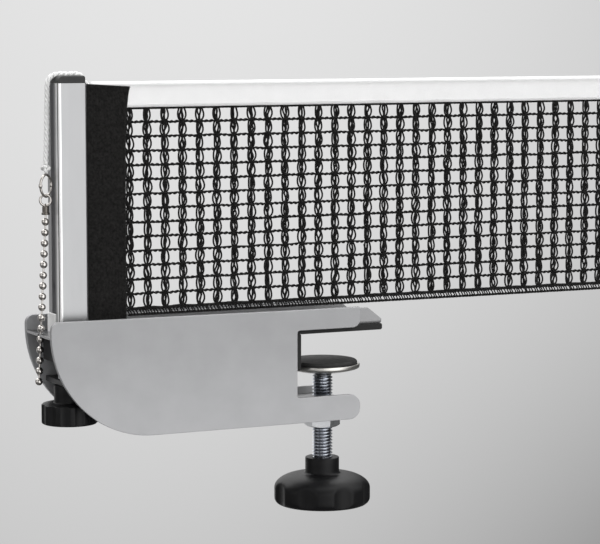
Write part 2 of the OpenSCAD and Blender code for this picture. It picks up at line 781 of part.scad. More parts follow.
// Connector with an eye for the ring and a cup for the first bead
module chain_coupling()
    color("silver") translate([ring_x, 0, 0]) {
        rotate_extrude() polygon([
            [0, coupling_low], [coupling_rim_d / 2, coupling_low],
            [coupling_rim_d / 2, coupling_low + coupling_rim_h],
            [coupling_d / 2, coupling_low + coupling_rim_h],
            [coupling_d / 2, coupling_top - 0.4], [coupling_d / 2 - 0.4, coupling_top],
            [0, coupling_top]
        ]);
        translate([0, 0, eye_z]) rotate([90, 0, ring_turn + 90])
            rotate_extrude() translate([eye_r, 0]) circle(d = eye_wire_d, $fn = 24);
    }

// Where the chain passes height z, between the catch and the coupling
function chain_x(z) =
    catch_x + (ring_x - catch_x) * (z - caught_z) / (coupling_low - caught_z);

// Round bar between two points
module rod_between(a, b, d)
    translate(a) rotate([0, acos(unit(b - a)[2]), atan2((b - a)[1], (b - a)[0])])
        cylinder(d = d, h = norm(b - a), $fn = 16);

module bead_chain()
    color("silver") {
        for (i = [0:beads_up - 1])
            let (z = caught_z + i * bead_pitch)
            translate([chain_x(z), 0, z]) sphere(d = bead_d, $fn = 24);
        rod_between([catch_x, 0, caught_z],
                    [chain_x(coupling_low), 0, coupling_low], link_d);
    }

module chain_tail()
    color("silver") translate([catch_x, 0, caught_z]) rotate([0, tail_lean, 0]) {
        for (i = [1:beads_down])
            translate([0, 0, -i * bead_pitch]) sphere(d = bead_d, $fn = 24);
        bar(link_d, -beads_down * bead_pitch, -bead_d / 2 - free_gap);
    }

front_plate();
rear_plate();
jaw_channel();
throat_plate();
nut_plate();
top_pad();
edge_pad();
clamp_nut();
spindle_bridge();
pressure_disc();
disc_pad();
clamp_screw();
clamp_knob();
post();
post_cap();
post_wedge();
chain_catch();
lift_carriage();
foot_screws();
height_spindle();
spindle_collar();
height_knob();
band_rod();
side_band();
top_tape();
net_mesh();
bottom_braid();
end_hem();
tension_cord();
cord_knot();
cord_hook();
chain_ring();
chain_coupling();
bead_chain();
chain_tail();
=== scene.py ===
"""Looks of a table tennis net clamp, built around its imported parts.

Each sub-assembly is a class that builds its meshes in metres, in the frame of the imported
model, and dresses them with procedural finishes.  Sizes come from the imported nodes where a
node holds them, and otherwise stand as named fields of the class.
"""

import json
import logging
import math
import random
from contextlib import contextmanager
from dataclasses import dataclass
from enum import Enum
from typing import Callable, Iterator, Sequence

import bmesh
import bpy
import numpy as np
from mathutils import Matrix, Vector

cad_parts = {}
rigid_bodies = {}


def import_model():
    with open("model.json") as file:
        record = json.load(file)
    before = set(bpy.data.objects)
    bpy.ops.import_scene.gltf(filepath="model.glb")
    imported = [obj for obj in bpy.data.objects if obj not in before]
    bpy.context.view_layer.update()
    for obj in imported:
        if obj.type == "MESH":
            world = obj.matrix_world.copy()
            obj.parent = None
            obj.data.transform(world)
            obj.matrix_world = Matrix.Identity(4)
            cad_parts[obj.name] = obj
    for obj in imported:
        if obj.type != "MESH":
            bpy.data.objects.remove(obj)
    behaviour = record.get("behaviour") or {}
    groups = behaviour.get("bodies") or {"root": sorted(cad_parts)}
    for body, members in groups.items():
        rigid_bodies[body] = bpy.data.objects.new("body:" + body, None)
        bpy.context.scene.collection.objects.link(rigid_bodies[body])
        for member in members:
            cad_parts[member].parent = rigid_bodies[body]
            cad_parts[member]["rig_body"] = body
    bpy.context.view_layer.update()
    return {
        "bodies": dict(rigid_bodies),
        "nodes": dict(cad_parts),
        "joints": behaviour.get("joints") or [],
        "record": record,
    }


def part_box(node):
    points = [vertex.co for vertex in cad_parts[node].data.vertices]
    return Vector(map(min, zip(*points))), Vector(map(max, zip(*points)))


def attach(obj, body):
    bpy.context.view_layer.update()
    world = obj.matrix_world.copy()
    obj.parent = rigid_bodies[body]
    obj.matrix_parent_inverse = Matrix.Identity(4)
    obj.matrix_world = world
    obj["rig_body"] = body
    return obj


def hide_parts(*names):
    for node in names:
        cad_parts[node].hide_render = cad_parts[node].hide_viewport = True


MM = 0.001
log = logging.getLogger("net_clamp")

Points = Sequence[Sequence[float]]
Radius = float | Callable[[float], float]
Colour = tuple[float, float, float, float]


# --------------------------------------------------------------------------- node trees


def operation(name: str, swapped: bool = False) -> Callable[..., "Value"]:
    """Makes an arithmetic method that adds a Math node.

    Args:
        name: Blender's name of the operation.
        swapped: whether the other number comes first.

    Returns:
        The method.
    """
    def method(self: "Value", other: object = 0.0) -> "Value":
        """Adds the node and returns its output."""
        pair = (other, self) if swapped else (self, other)
        return self.graph.math(name, *pair)

    return method


class Value:
    """A node's output that can be calculated with: each operation adds a Math node."""

    def __init__(self, graph: "Graph", socket: bpy.types.NodeSocket) -> None:
        """Keeps the socket and the graph that it is in."""
        self.graph = graph
        self.socket = socket

    __add__ = __radd__ = operation("ADD")
    __mul__ = __rmul__ = operation("MULTIPLY")
    __sub__ = operation("SUBTRACT")
    __rsub__ = operation("SUBTRACT", swapped=True)
    __truediv__ = operation("DIVIDE")
    __rtruediv__ = operation("DIVIDE", swapped=True)
    __mod__ = operation("MODULO")
    __pow__ = operation("POWER")
    __gt__ = operation("GREATER_THAN")
    __abs__ = operation("ABSOLUTE")
    floor = operation("FLOOR")
    root = operation("SQRT")
    sine = operation("SINE")
    cosine = operation("COSINE")


Values = dict[str, Value]


class Graph:
    """Short calls for building a shader tree or a geometry tree."""

    def __init__(self, tree: bpy.types.NodeTree) -> None:
        """Keeps the tree that the calls add to."""
        self.tree = tree

    def wire(self, node: bpy.types.Node, inputs: dict) -> None:
        """Links or sets a node's inputs.

        Args:
            node: the node.
            inputs: socket name or number, and the plain value or other output that feeds it.
        """
        for key, value in inputs.items():
            if isinstance(value, Value):
                self.tree.links.new(value.socket, node.inputs[key])
            else:
                node.inputs[key].default_value = value

    def node(self, kind: str, inputs: dict | None = None, **settings: object) -> bpy.types.Node:
        """Adds a node.

        Args:
            kind: Blender's name of the node type.
            inputs: as in wire().
            **settings: properties of the node itself.

        Returns:
            The new node.
        """
        made = self.tree.nodes.new(kind)
        for key, value in settings.items():
            setattr(made, key, value)
        self.wire(made, inputs or {})
        return made

    def out(self, kind: str, inputs: dict | None = None, pick: str | int = 0,
            **settings: object) -> Value:
        """Adds a node as node() does and returns the output of the name or number `pick`."""
        return Value(self, self.node(kind, inputs, **settings).outputs[pick])

    def values(self, node: bpy.types.Node) -> Values:
        """All named outputs of a node."""
        return {s.name: Value(self, s) for s in node.outputs if s.name}

    def math(self, name: str, a: object, b: object = 0.0) -> Value:
        """Adds a Math node and returns its output."""
        return self.out("ShaderNodeMath", {0: a, 1: b}, operation=name)

    def axes(self, vector: Value) -> list[Value]:
        """Splits a vector into its three numbers."""
        made = self.node("ShaderNodeSeparateXYZ", {0: vector})
        return [Value(self, s) for s in made.outputs]

    def vector(self, x: object = 0.0, y: object = 0.0, z: object = 0.0) -> Value:
        """Joins three numbers to a vector."""
        return self.out("ShaderNodeCombineXYZ", {0: x, 1: y, 2: z})

    def dot(self, a: object, b: object) -> Value:
        """The dot product of two vectors."""
        return self.out("ShaderNodeVectorMath", {0: a, 1: b}, "Value", operation="DOT_PRODUCT")

    def spread(self, value: Value, low: float, high: float, to_low: float = 0.0,
               to_high: float = 1.0) -> Value:
        """Maps a range onto another, clamped."""
        return self.out("ShaderNodeMapRange",
                        {"Value": value, "From Min": low, "From Max": high,
                         "To Min": to_low, "To Max": to_high}, "Result", clamp=True)

    def mix(self, share: Value, a: object, b: object) -> Value:
        """The number `a` where the share is 1 and `b` where it is 0."""
        return share * a + (1.0 - share) * b

    def tint(self, share: Value, a: object, b: object) -> Value:
        """The colour `a` where the share is 0 and `b` where it is 1."""
        return self.out("ShaderNodeMix", {0: share, 6: a, 7: b}, 2, data_type="RGBA",
                        blend_type="MIX")

    def noise(self, place: Value, scale: object, detail: object, rough: float = 0.5) -> Value:
        """Soft noise at a place."""
        return self.out("ShaderNodeTexNoise", {"Vector": place, "Scale": scale,
                                               "Detail": detail, "Roughness": rough})

    def here(self) -> Value:
        """The place on the object, in metres."""
        return self.out("ShaderNodeTexCoord", pick="Object")

    def bump(self, height: Value, depth: float) -> Value:
        """The normal of a relief of the given depth."""
        return self.out("ShaderNodeBump", {"Height": height, "Strength": 1.0, "Distance": depth})

    def group(self, tree: bpy.types.NodeTree, inputs: dict[str, float]) -> Values:
        """Uses a shared group and returns its outputs."""
        return self.values(self.node("ShaderNodeGroup", inputs, node_tree=tree))


def shared_group(name: str, inputs: dict[str, float],
                 fill: Callable[[Graph, Values], Values]) -> bpy.types.NodeTree:
    """Makes a shader node group of number inputs and outputs.

    Args:
        name: the group's name.
        inputs: input names and their usual values.
        fill: builds the tree from its inputs and returns the outputs.

    Returns:
        The group.
    """
    tree = bpy.data.node_groups.new(name, "ShaderNodeTree")
    for key, value in inputs.items():
        made = tree.interface.new_socket(name=key, in_out="INPUT", socket_type="NodeSocketFloat")
        made.default_value = value
    g = Graph(tree)
    outputs = fill(g, g.values(g.node("NodeGroupInput")))
    for key in outputs:
        tree.interface.new_socket(name=key, in_out="OUTPUT", socket_type="NodeSocketFloat")
    g.node("NodeGroupOutput", outputs)
    return tree


def fill_grain(g: Graph, ins: Values) -> Values:
    """Fine speckle with a broad cloud over it, drawn out along one axis if asked."""
    place = zip(g.axes(g.here()), "XYZ")
    drawn = g.vector(*(value / ins[f"Stretch {axis}"] for value, axis in place))
    return {name: g.spread(g.noise(drawn, 1.0 / ins[size], ins["Detail"], 0.55), 0.3, 0.7)
            for name, size in (("Fine", "Size"), ("Cloud", "Cloud Size"))}


def fill_edge(g: Graph, ins: Values) -> Values:
    """Mask of the outer edges, broken up by noise, for worn or polished edges."""
    bevel = g.out("ShaderNodeBevel", {"Radius": ins["Width"]}, samples=4)
    facing = g.dot(bevel, g.out("ShaderNodeNewGeometry", pick="True Normal"))
    broken = g.spread(g.noise(g.here(), 420.0, 4.0), 0.42, 0.6)
    share = (1.0 - ins["Break Up"]) + broken * ins["Break Up"]
    return {"Mask": g.spread(facing, 0.999, 0.86) * share}


def fill_dust(g: Graph, ins: Values) -> Values:
    """Thin dust that lies on faces that look up."""
    up = g.axes(g.out("ShaderNodeNewGeometry", pick="Normal"))[2]
    cloud = g.noise(g.here(), 1.0 / ins["Size"], 6.0, 0.7)
    return {"Mask": g.spread(up, 0.1, 1.0) * g.spread(cloud, 0.35, 0.75) * ins["Amount"]}


def fill_weave(g: Graph, ins: Values) -> Values:
    """Threads over and under each other on a UV map in metres; Slant makes it a twill."""
    u, v, _ = g.axes(g.out("ShaderNodeUVMap", uv_map="cloth"))
    across, along = u / ins["Thread"], v / ins["Thread"]
    phase = (across * 0.5 + ins["Slant"] * along) * math.tau
    over = g.spread(phase.sine() * (along * math.pi).cosine(), -0.6, 0.6)
    warp, weft = abs((across * math.pi).sine()), abs((along * math.pi).sine())
    return {"Height": g.mix(over, warp, weft), "Warp": over,
            "Gap": g.spread(warp + weft, 0.7, 0.2)}


def fill_yarn(g: Graph, ins: Values) -> Values:
    """Filaments wound round a thread: U goes once round it, V runs along it in metres."""
    u, v, _ = g.axes(g.out("ShaderNodeUVMap", uv_map="cloth"))
    ridge = ((u + v / ins["Lay"]) * math.tau * ins["Filaments"]).sine()
    fuzz = g.noise(g.here(), 2600.0, 3.0)
    return {"Height": ridge + fuzz * 0.8, "Fuzz": g.spread(fuzz, 0.35, 0.65)}


class Effects:
    """Shader groups that several finishes share, each made once."""

    def __init__(self) -> None:
        """Makes every group."""
        self.grain = shared_group("surface_grain",
                                  {"Size": 0.5 * MM, "Cloud Size": 20 * MM, "Stretch X": 1.0,
                                   "Stretch Y": 1.0, "Stretch Z": 1.0, "Detail": 3.0}, fill_grain)
        self.edge = shared_group("edge_wear", {"Width": 0.4 * MM, "Break Up": 0.6}, fill_edge)
        self.dust = shared_group("settled_dust", {"Amount": 0.3, "Size": 3 * MM}, fill_dust)
        self.weave = shared_group("woven_cloth", {"Thread": 0.4 * MM, "Slant": 0.0}, fill_weave)
        self.yarn = shared_group("twisted_yarn", {"Lay": 2 * MM, "Filaments": 6.0}, fill_yarn)


# ----------------------------------------------------------------------------- finishes


def plain_material(name: str, values: dict[str, object]
                   ) -> tuple[bpy.types.Material, Graph, bpy.types.Node]:
    """Makes a material with its plain numbers on the shader's own sockets.

    Args:
        name: the material's name.
        values: the shader's socket names and their numbers.

    Returns:
        The material, its graph and its Principled BSDF.
    """
    made = bpy.data.materials.new(name)
    made.use_nodes = True
    graph = Graph(made.node_tree)
    shader = made.node_tree.nodes["Principled BSDF"]
    graph.wire(shader, values)
    return made, graph, shader


def grey(level: float) -> Colour:
    """An opaque grey."""
    return (level, level, level, 1.0)


@dataclass(frozen=True)
class Finish:
    """What every finish has: its record slot, colour and gloss."""

    slot: str
    colour: tuple[float, float, float]
    roughness: float
    metallic: float = 0.0
    specular: float = 0.5

    def start(self, **more: float) -> tuple[bpy.types.Material, Graph, bpy.types.Node]:
        """Makes the plain material; further sockets are named with _ for a space."""
        values = {"Base Color": (*self.colour, 1.0), "Roughness": self.roughness,
                  "Metallic": self.metallic, "Specular IOR Level": self.specular}
        values.update((key.replace("_", " "), value) for key, value in more.items())
        return plain_material(self.slot, values)

    def shade(self, share: float) -> Colour:
        """The colour, darker or lighter by a share."""
        return (*(min(1.0, c * share) for c in self.colour), 1.0)

    def gloss(self, g: Graph, fine: Value, less: float, more: float) -> Value:
        """The roughness, varied by the fine grain between two steps off the usual one."""
        return g.spread(fine, 0.0, 1.0, self.roughness - less, self.roughness + more)

    def build(self, effects: Effects) -> bpy.types.Material:
        """Makes the material; each kind of finish has its own way."""
        raise NotImplementedError


@dataclass(frozen=True)
class Metal(Finish):
    """Lacquered, plated or drawn metal with grain, brighter edges and a little dust.

    A painted shade darkens it from the foot of the clamp up to the table's level.
    """

    metallic: float = 1.0
    grain_size: float = 0.25 * MM
    stretch: tuple[float, float, float] = (1.0, 1.0, 1.0)
    grain_depth: float = 0.01 * MM
    grain_gloss: float = 0.12
    edge_width: float = 0.35 * MM
    edge_gain: float = 1.25
    dust: float = 0.12
    dust_colour: Colour = (0.62, 0.61, 0.58, 1.0)
    # Painted shade: how dark it gets at the table's level, and the heights it runs between.
    painted_shade: float = 0.0
    painted_shade_from: float = -50 * MM
    painted_shade_to: float = 5 * MM

    def marked(self, g: Graph, colour: Value) -> Value:
        """Adds the marks of a special kind of metal to its colour; plain metal has none."""
        return colour

    def build(self, effects: Effects) -> bpy.types.Material:
        """Makes the material."""
        made, g, shader = self.start()
        stretch = {f"Stretch {axis}": value for axis, value in zip("XYZ", self.stretch)}
        grain = g.group(effects.grain, {"Size": self.grain_size, **stretch})
        edge = g.group(effects.edge, {"Width": self.edge_width})
        dust = g.group(effects.dust, {"Amount": self.dust})
        toned = g.tint(grain["Cloud"], self.shade(0.95), self.shade(1.05))
        # Painted shade: darker towards the top, up to the table's level.
        if self.painted_shade:
            share = g.spread(g.axes(g.here())[2], self.painted_shade_from, self.painted_shade_to, 0.0, self.painted_shade)
            toned = g.tint(share, toned, self.shade(0.0))
        speckled = g.tint(grain["Fine"] * 0.25, toned, self.shade(1.12))
        worn = g.tint(edge["Mask"], speckled, self.shade(self.edge_gain))
        gloss = self.gloss(g, grain["Fine"], self.grain_gloss / 2, self.grain_gloss / 2)
        g.wire(shader, {
            "Base Color": self.marked(g, g.tint(dust["Mask"], worn, self.dust_colour)),
            "Roughness": gloss + dust["Mask"] * 0.4,
            "Normal": g.bump(grain["Fine"], self.grain_depth)})
        return made


@dataclass(frozen=True)
class Thread(Metal):
    """Plated screw steel with painted shade down in the thread, round an upright axis."""

    axis_x: float = 0.0
    root: float = 5.2 * MM
    crest: float = 6.3 * MM
    # Colour of the painted shade in the thread roots.
    root_painted_shade: Colour = (0.03, 0.032, 0.036, 1.0)

    def marked(self, g: Graph, colour: Value) -> Value:
        """Paints shade into the roots."""
        x, y, _ = g.axes(g.here())
        off = x - self.axis_x
        reach = (off * off + y * y).root()
        # Painted shade: darker from the crest down to the root.
        return g.tint(g.spread(reach, self.root, self.crest, 0.6, 0.0), colour, self.root_painted_shade)


@dataclass(frozen=True)
class Extruded(Metal):
    """Drawn aluminium with painted light inside the grooves, and one corner with painted
    highlights beside a fine painted dark line of shade.

    Each painted mark of the corner is a pair of angles round it, in radians, and a grey.
    """

    centre_x: float = -165.1 * MM
    half_x: float = 8.9 * MM
    half_y: float = 10 * MM
    corner: float = 1.6 * MM
    groove: float = 3.5 * MM
    # Painted light inside the grooves, lifting their shade.
    groove_painted_light: Colour = (0.4, 0.4, 0.41, 1.0)
    # Painted highlights and a painted dark line of shade round the corner.
    painted_corner_marks: tuple[tuple[float, float, float], ...] = (
        (-1.05, -0.1, 0.95), (-0.02, 0.45, 0.06), (0.6, 1.62, 1.0))
    soft: float = 0.08
    groove_soft: float = 0.1 * MM

    def marked(self, g: Graph, colour: Value) -> Value:
        """Paints highlights and a dark line of shade on the outer front corner, and light inside
        the grooves.
        """
        x, y, _ = g.axes(g.here())
        aside = (self.centre_x - x) - (self.half_x - self.corner)
        turn = g.math("ARCTAN2", (self.corner - self.half_y) - y, aside)
        # Painted highlights and a painted dark line of shade, by the angle round the corner.
        for low, high, tone in self.painted_corner_marks:
            share = (g.spread(turn, low - self.soft, low + self.soft)
                     * g.spread(turn, high + self.soft, high - self.soft))
            colour = g.tint(share, colour, grey(tone))
        # Painted light inside the grooves.
        inside = g.spread(abs(y), self.groove + self.groove_soft, self.groove - self.groove_soft)
        return g.tint(inside, colour, self.groove_painted_light)


@dataclass(frozen=True)
class Moulded(Finish):
    """Moulded plastic or rubber with a spark-eroded or pitted grain."""

    grain_size: float = 0.3 * MM
    grain_depth: float = 0.03 * MM
    cloud: float = 12 * MM
    edge_gain: float = 1.5
    dust: float = 0.1
    dust_colour: Colour = (0.42, 0.41, 0.39, 1.0)
    sheen: float = 0.0

    def build(self, effects: Effects) -> bpy.types.Material:
        """Makes the material."""
        made, g, shader = self.start(Sheen_Weight=self.sheen)
        grain = g.group(effects.grain, {"Size": self.grain_size, "Cloud Size": self.cloud})
        edge = g.group(effects.edge, {})
        dust = g.group(effects.dust, {"Amount": self.dust})
        toned = g.tint(grain["Cloud"], self.shade(0.85), self.shade(1.15))
        worn = g.tint(edge["Mask"] * 0.6, toned, self.shade(self.edge_gain))
        g.wire(shader, {"Base Color": g.tint(dust["Mask"], worn, self.dust_colour),
                        "Roughness": self.gloss(g, grain["Fine"], 0.06, 0.08),
                        "Normal": g.bump(grain["Fine"], self.grain_depth)})
        return made


@dataclass(frozen=True)
class Woven(Finish):
    """Woven cloth: plain weave, or twill where the weave has a slant, with painted shade in the
    gaps between threads.
    """

    thread: float = 0.4 * MM
    slant: float = 0.0
    depth: float = 0.12 * MM
    tone: float = 0.12
    sheen: float = 0.3
    grain_size: float = 0.15 * MM
    cloud: float = 9 * MM
    swell: float = 0.0

    def build(self, effects: Effects) -> bpy.types.Material:
        """Makes the material."""
        made, g, shader = self.start(Sheen_Weight=self.sheen, Sheen_Roughness=0.5)
        weave = g.group(effects.weave, {"Thread": self.thread, "Slant": self.slant})
        grain = g.group(effects.grain, {"Size": self.grain_size, "Cloud Size": self.cloud})
        toned = g.tint(grain["Cloud"], self.shade(1 - self.tone), self.shade(1 + self.tone))
        threads = g.tint(weave["Warp"] * 0.35, toned, self.shade(max(0.1, 1 - 2 * self.tone)))
        height = weave["Height"] + (grain["Fine"] * 0.3 + grain["Cloud"] * self.swell)
        # Painted shade in the gaps between the threads.
        g.wire(shader, {"Base Color": g.tint(weave["Gap"] * 0.6, threads, self.shade(0.35)),
                        "Roughness": self.gloss(g, grain["Fine"], 0.08, 0.05),
                        "Normal": g.bump(height, self.depth)})
        return made


@dataclass(frozen=True)
class Yarn(Finish):
    """Twisted thread, with filaments and fuzz, painted shade between the filaments and painted
    glints on the fuzz.
    """

    lay: float = 2.5 * MM
    filaments: float = 5.0
    depth: float = 0.06 * MM
    fuzz_and_glint_gain: float = 1.6
    sheen: float = 0.3

    def build(self, effects: Effects) -> bpy.types.Material:
        """Makes the material."""
        made, g, shader = self.start(Sheen_Weight=self.sheen)
        yarn = g.group(effects.yarn, {"Lay": self.lay, "Filaments": self.filaments})
        ridge = g.spread(yarn["Height"], -1.0, 1.6)
        # Painted shade in the valleys between filaments, lighter on their ridges.
        toned = g.tint(ridge, self.shade(0.7), self.shade(1.1))
        # The fuzz is lighter: real fuzz, with painted glints on it.
        g.wire(shader, {"Base Color": g.tint(yarn["Fuzz"] * 0.3, toned,
                                             self.shade(self.fuzz_and_glint_gain)),
                        "Normal": g.bump(ridge, self.depth)})
        return made


class Finishes(Enum):
    """Every finish of the object, under the name of its record slot."""

    # The side plates' silver carries the painted shade, darker towards the top.
    SILVER = Metal("side_plate_silver", (0.4, 0.402, 0.411), 0.5, 0.35, painted_shade=0.2,
                   grain_size=0.18 * MM, grain_depth=0.006 * MM, edge_gain=1.7, dust=0.05)
    CHANNEL = Metal("channel_grey", (0.3, 0.3, 0.305), 0.5, 0.45, grain_size=0.2 * MM)
    CATCH = Metal("channel_grey", (0.28, 0.28, 0.285), 0.24, 1.0, grain_size=0.2 * MM,
                  dust=0.01, edge_gain=3.2)
    RUBBER = Moulded("pad_rubber", (0.015, 0.015, 0.015), 0.72, grain_size=0.4 * MM,
                     grain_depth=0.05 * MM, specular=0.35)
    ZINC = Metal("zinc_steel", (0.72, 0.73, 0.75), 0.3, grain_size=0.2 * MM,
                 grain_gloss=0.16, dust=0.05)
    # Screw and spindle steel carry painted shade in their thread roots.
    SCREW = Thread("zinc_steel", (0.68, 0.71, 0.77), 0.14, grain_size=0.2 * MM,
                   grain_gloss=0.1, dust=0.0)
    SPINDLE = Thread("zinc_steel", (0.66, 0.68, 0.72), 0.2, grain_size=0.2 * MM,
                     grain_gloss=0.1, dust=0.0, axis_x=-165.1 * MM, root=3.2 * MM,
                     crest=3.95 * MM)
    NICKEL = Metal("nickel_steel", (0.6, 0.59, 0.56), 0.3, grain_size=0.12 * MM,
                   stretch=(3.0, 3.0, 1.0), dust=0.08)
    KNOB = Moulded("knob_plastic", (0.006, 0.006, 0.0065), 0.4, grain_size=0.35 * MM,
                   grain_depth=0.02 * MM, dust=0.008, edge_gain=1.5, specular=0.17)
    # The post's aluminium carries painted highlights and shade on its corner and painted light in
    # its grooves.
    ALUMINIUM = Extruded("post_aluminium", (0.345, 0.347, 0.352), 0.36, 1.0,
                         grain_size=0.25 * MM, stretch=(1.0, 1.0, 90.0),
                         grain_depth=0.005 * MM, dust=0.0, edge_gain=1.15)
    CAP = Moulded("cap_plastic", (0.03, 0.03, 0.03), 0.5, grain_size=0.25 * MM, dust=0.05,
                  specular=0.3)
    NYLON = Moulded("white_nylon", (0.94, 0.94, 0.92), 0.45, grain_size=0.5 * MM,
                    grain_depth=0.015 * MM, edge_gain=1.05, dust=0.03)
    BLACK_STEEL = Metal("black_steel", (0.018, 0.018, 0.019), 0.45, 0.2, grain_size=0.3 * MM,
                        edge_gain=3.0, dust=0.01)
    ROD = Moulded("white_rod", (0.72, 0.72, 0.66), 0.3, grain_size=0.6 * MM,
                  grain_depth=0.01 * MM, edge_gain=1.05)
    TAPE = Woven("white_tape", (0.93, 0.93, 0.93), 0.8, thread=0.42 * MM, depth=0.05 * MM,
                 tone=0.02, specular=0.3)
    TWILL = Woven("black_fabric", (0.012, 0.0115, 0.011), 0.7, thread=0.5 * MM, slant=0.5,
                  depth=0.2 * MM, tone=0.8, specular=0.14, sheen=0.03, cloud=1.5 * MM,
                  swell=1.6)
    # The net's yarn has strong painted glints on its fuzz.
    NET = Yarn("black_cord_net", (0.005, 0.0048, 0.0046), 0.5, fuzz_and_glint_gain=5.0, specular=0.2,
               depth=0.12 * MM, sheen=0.01)
    CORD = Yarn("white_cord", (0.95, 0.95, 0.935), 0.75, lay=4 * MM, filaments=7.0,
                fuzz_and_glint_gain=1.15, specular=0.25)
    COUPLING = Metal("bead_chrome", (0.12, 0.11, 0.1), 0.2, grain_size=0.3 * MM, dust=0.0,
                     edge_gain=3.0)
    CHROME = Metal("bead_chrome", (0.55, 0.525, 0.5), 0.07, grain_size=0.3 * MM,
                   grain_gloss=0.04, grain_depth=0.003 * MM, edge_gain=1.0, dust=0.0)


# ------------------------------------------------------------------------------- meshes


DOUBLE = 1e-7      # points closer than this are one point
FLAT = 0.3         # edges flatter than this many degrees are dissolved
SHARP = 25.0       # edges sharper than this many degrees are softened


@contextmanager
def editing(mesh: bpy.types.Mesh) -> Iterator[bmesh.types.BMesh]:
    """Opens a mesh for editing and writes the changes back."""
    bm = bmesh.new()
    bm.from_mesh(mesh)
    yield bm
    bm.to_mesh(mesh)
    bm.free()


def make_object(name: str, verts: Points, faces: Sequence[Sequence[int]],
                uvs: Sequence[Points] | None = None) -> bpy.types.Object:
    """Links a new mesh object.

    Args:
        name: the object's name.
        verts: places in metres.
        faces: vertex numbers, one tuple for each face.
        uvs: for each face, the UV places of its corners, in metres.

    Returns:
        The object, at the origin.
    """
    mesh = bpy.data.meshes.new(name)
    mesh.from_pydata([tuple(v) for v in verts], [], [tuple(f) for f in faces])
    if uvs is not None:
        layer = mesh.uv_layers.new(name="cloth")
        flat = np.array([c for face in uvs for c in face], np.float32)
        layer.data.foreach_set("uv", flat.ravel())
    mesh.validate()
    made = bpy.data.objects.new(name, mesh)
    bpy.context.scene.collection.objects.link(made)
    return made


def smooth(obj: bpy.types.Object, angle: float = 35.0) -> bpy.types.Object:
    """Shades a mesh smooth, with edges over the angle in degrees left sharp."""
    mesh = obj.data
    mesh.polygons.foreach_set("use_smooth", [True] * len(mesh.polygons))
    mesh.set_sharp_from_angle(angle=math.radians(angle))
    mesh.update()
    return obj


def outward(obj: bpy.types.Object, merge: float = DOUBLE) -> bpy.types.Object:
    """Merges doubles, then turns a closed mesh's faces outwards."""
    with editing(obj.data) as bm:
        bmesh.ops.remove_doubles(bm, verts=bm.verts, dist=merge)
        bmesh.ops.dissolve_degenerate(bm, edges=bm.edges, dist=merge)
        bmesh.ops.recalc_face_normals(bm, faces=bm.faces)
    return obj


def join(name: str, parts: Sequence[bpy.types.Object]) -> bpy.types.Object:
    """Joins meshes into the first one and names the result."""
    with bpy.context.temp_override(active_object=parts[0], selected_editable_objects=parts):
        bpy.ops.object.join()
    parts[0].name = name
    parts[0].data.name = name
    return parts[0]


def distances(points: Points) -> np.ndarray:
    """How far along a line of points each of them lies."""
    steps = np.linalg.norm(np.diff(np.array(points, float), axis=0), axis=1)
    return np.concatenate([[0.0], np.cumsum(steps)])


def rounded(points: Points, radius: float, steps: int = 4) -> list[tuple]:
    """Rounds the corners of an open outline in a plane.

    Args:
        points: the corners.
        radius: the largest cut-back from each corner; short edges have less.
        steps: pieces of each round.

    Returns:
        The outline with its corners rounded.
    """
    made = [tuple(points[0])]
    for before, corner, after in zip(points, points[1:], points[2:]):
        here = Vector(corner)
        back, on = Vector(before) - here, Vector(after) - here
        cut = min(radius, back.length * 0.45, on.length * 0.45)
        if cut < DOUBLE or abs(math.pi - back.angle(on)) < math.radians(8):
            made.append(tuple(corner))
            continue
        start, end = here + back.normalized() * cut, here + on.normalized() * cut
        for t in np.linspace(0.0, 1.0, steps + 1):
            made.append(tuple(start * (1 - t) ** 2 + here * 2 * t * (1 - t) + end * t * t))
    return [*made, tuple(points[-1])]


def polar(centre: Sequence[float], radius: float, angle: float, z: float) -> tuple:
    """A point round an upright axis."""
    return (centre[0] + radius * math.cos(angle), centre[1] + radius * math.sin(angle), z)


def rings(name: str, profile: Sequence[tuple[Radius, float]], segments: int = 64,
          centre: Sequence[float] = (0.0, 0.0), closed: bool = False) -> bpy.types.Object:
    """Stacks rings round an upright axis and skins them.

    Args:
        name: the object's name.
        profile: for each ring its radius, a number or a function of the angle, and its height.
        segments: corners of each ring.
        centre: X and Y of the axis.
        closed: whether the last ring joins the first, as on a washer.

    Returns:
        A closed mesh with its faces outwards.
    """
    angles = [math.tau * k / segments for k in range(segments)]
    verts = [polar(centre, radius(a) if callable(radius) else radius, a, z)
             for radius, z in profile for a in angles]
    count, faces = len(profile), []
    for i in range(count if closed else count - 1):
        a, b = i * segments, (i + 1) % count * segments
        for k in range(segments):
            n = (k + 1) % segments
            faces.append((a + k, a + n, b + n, b + k))
    return outward(make_object(name, verts, faces))


def lathe(name: str, outline: Points, segments: int = 64, centre: Sequence[float] = (0.0, 0.0),
          fillet: float = 0.3 * MM) -> bpy.types.Object:
    """Turns an outline of (radius, height) round an upright axis, with rounded corners."""
    return smooth(rings(name, rounded(outline, fillet), segments, centre), 40)


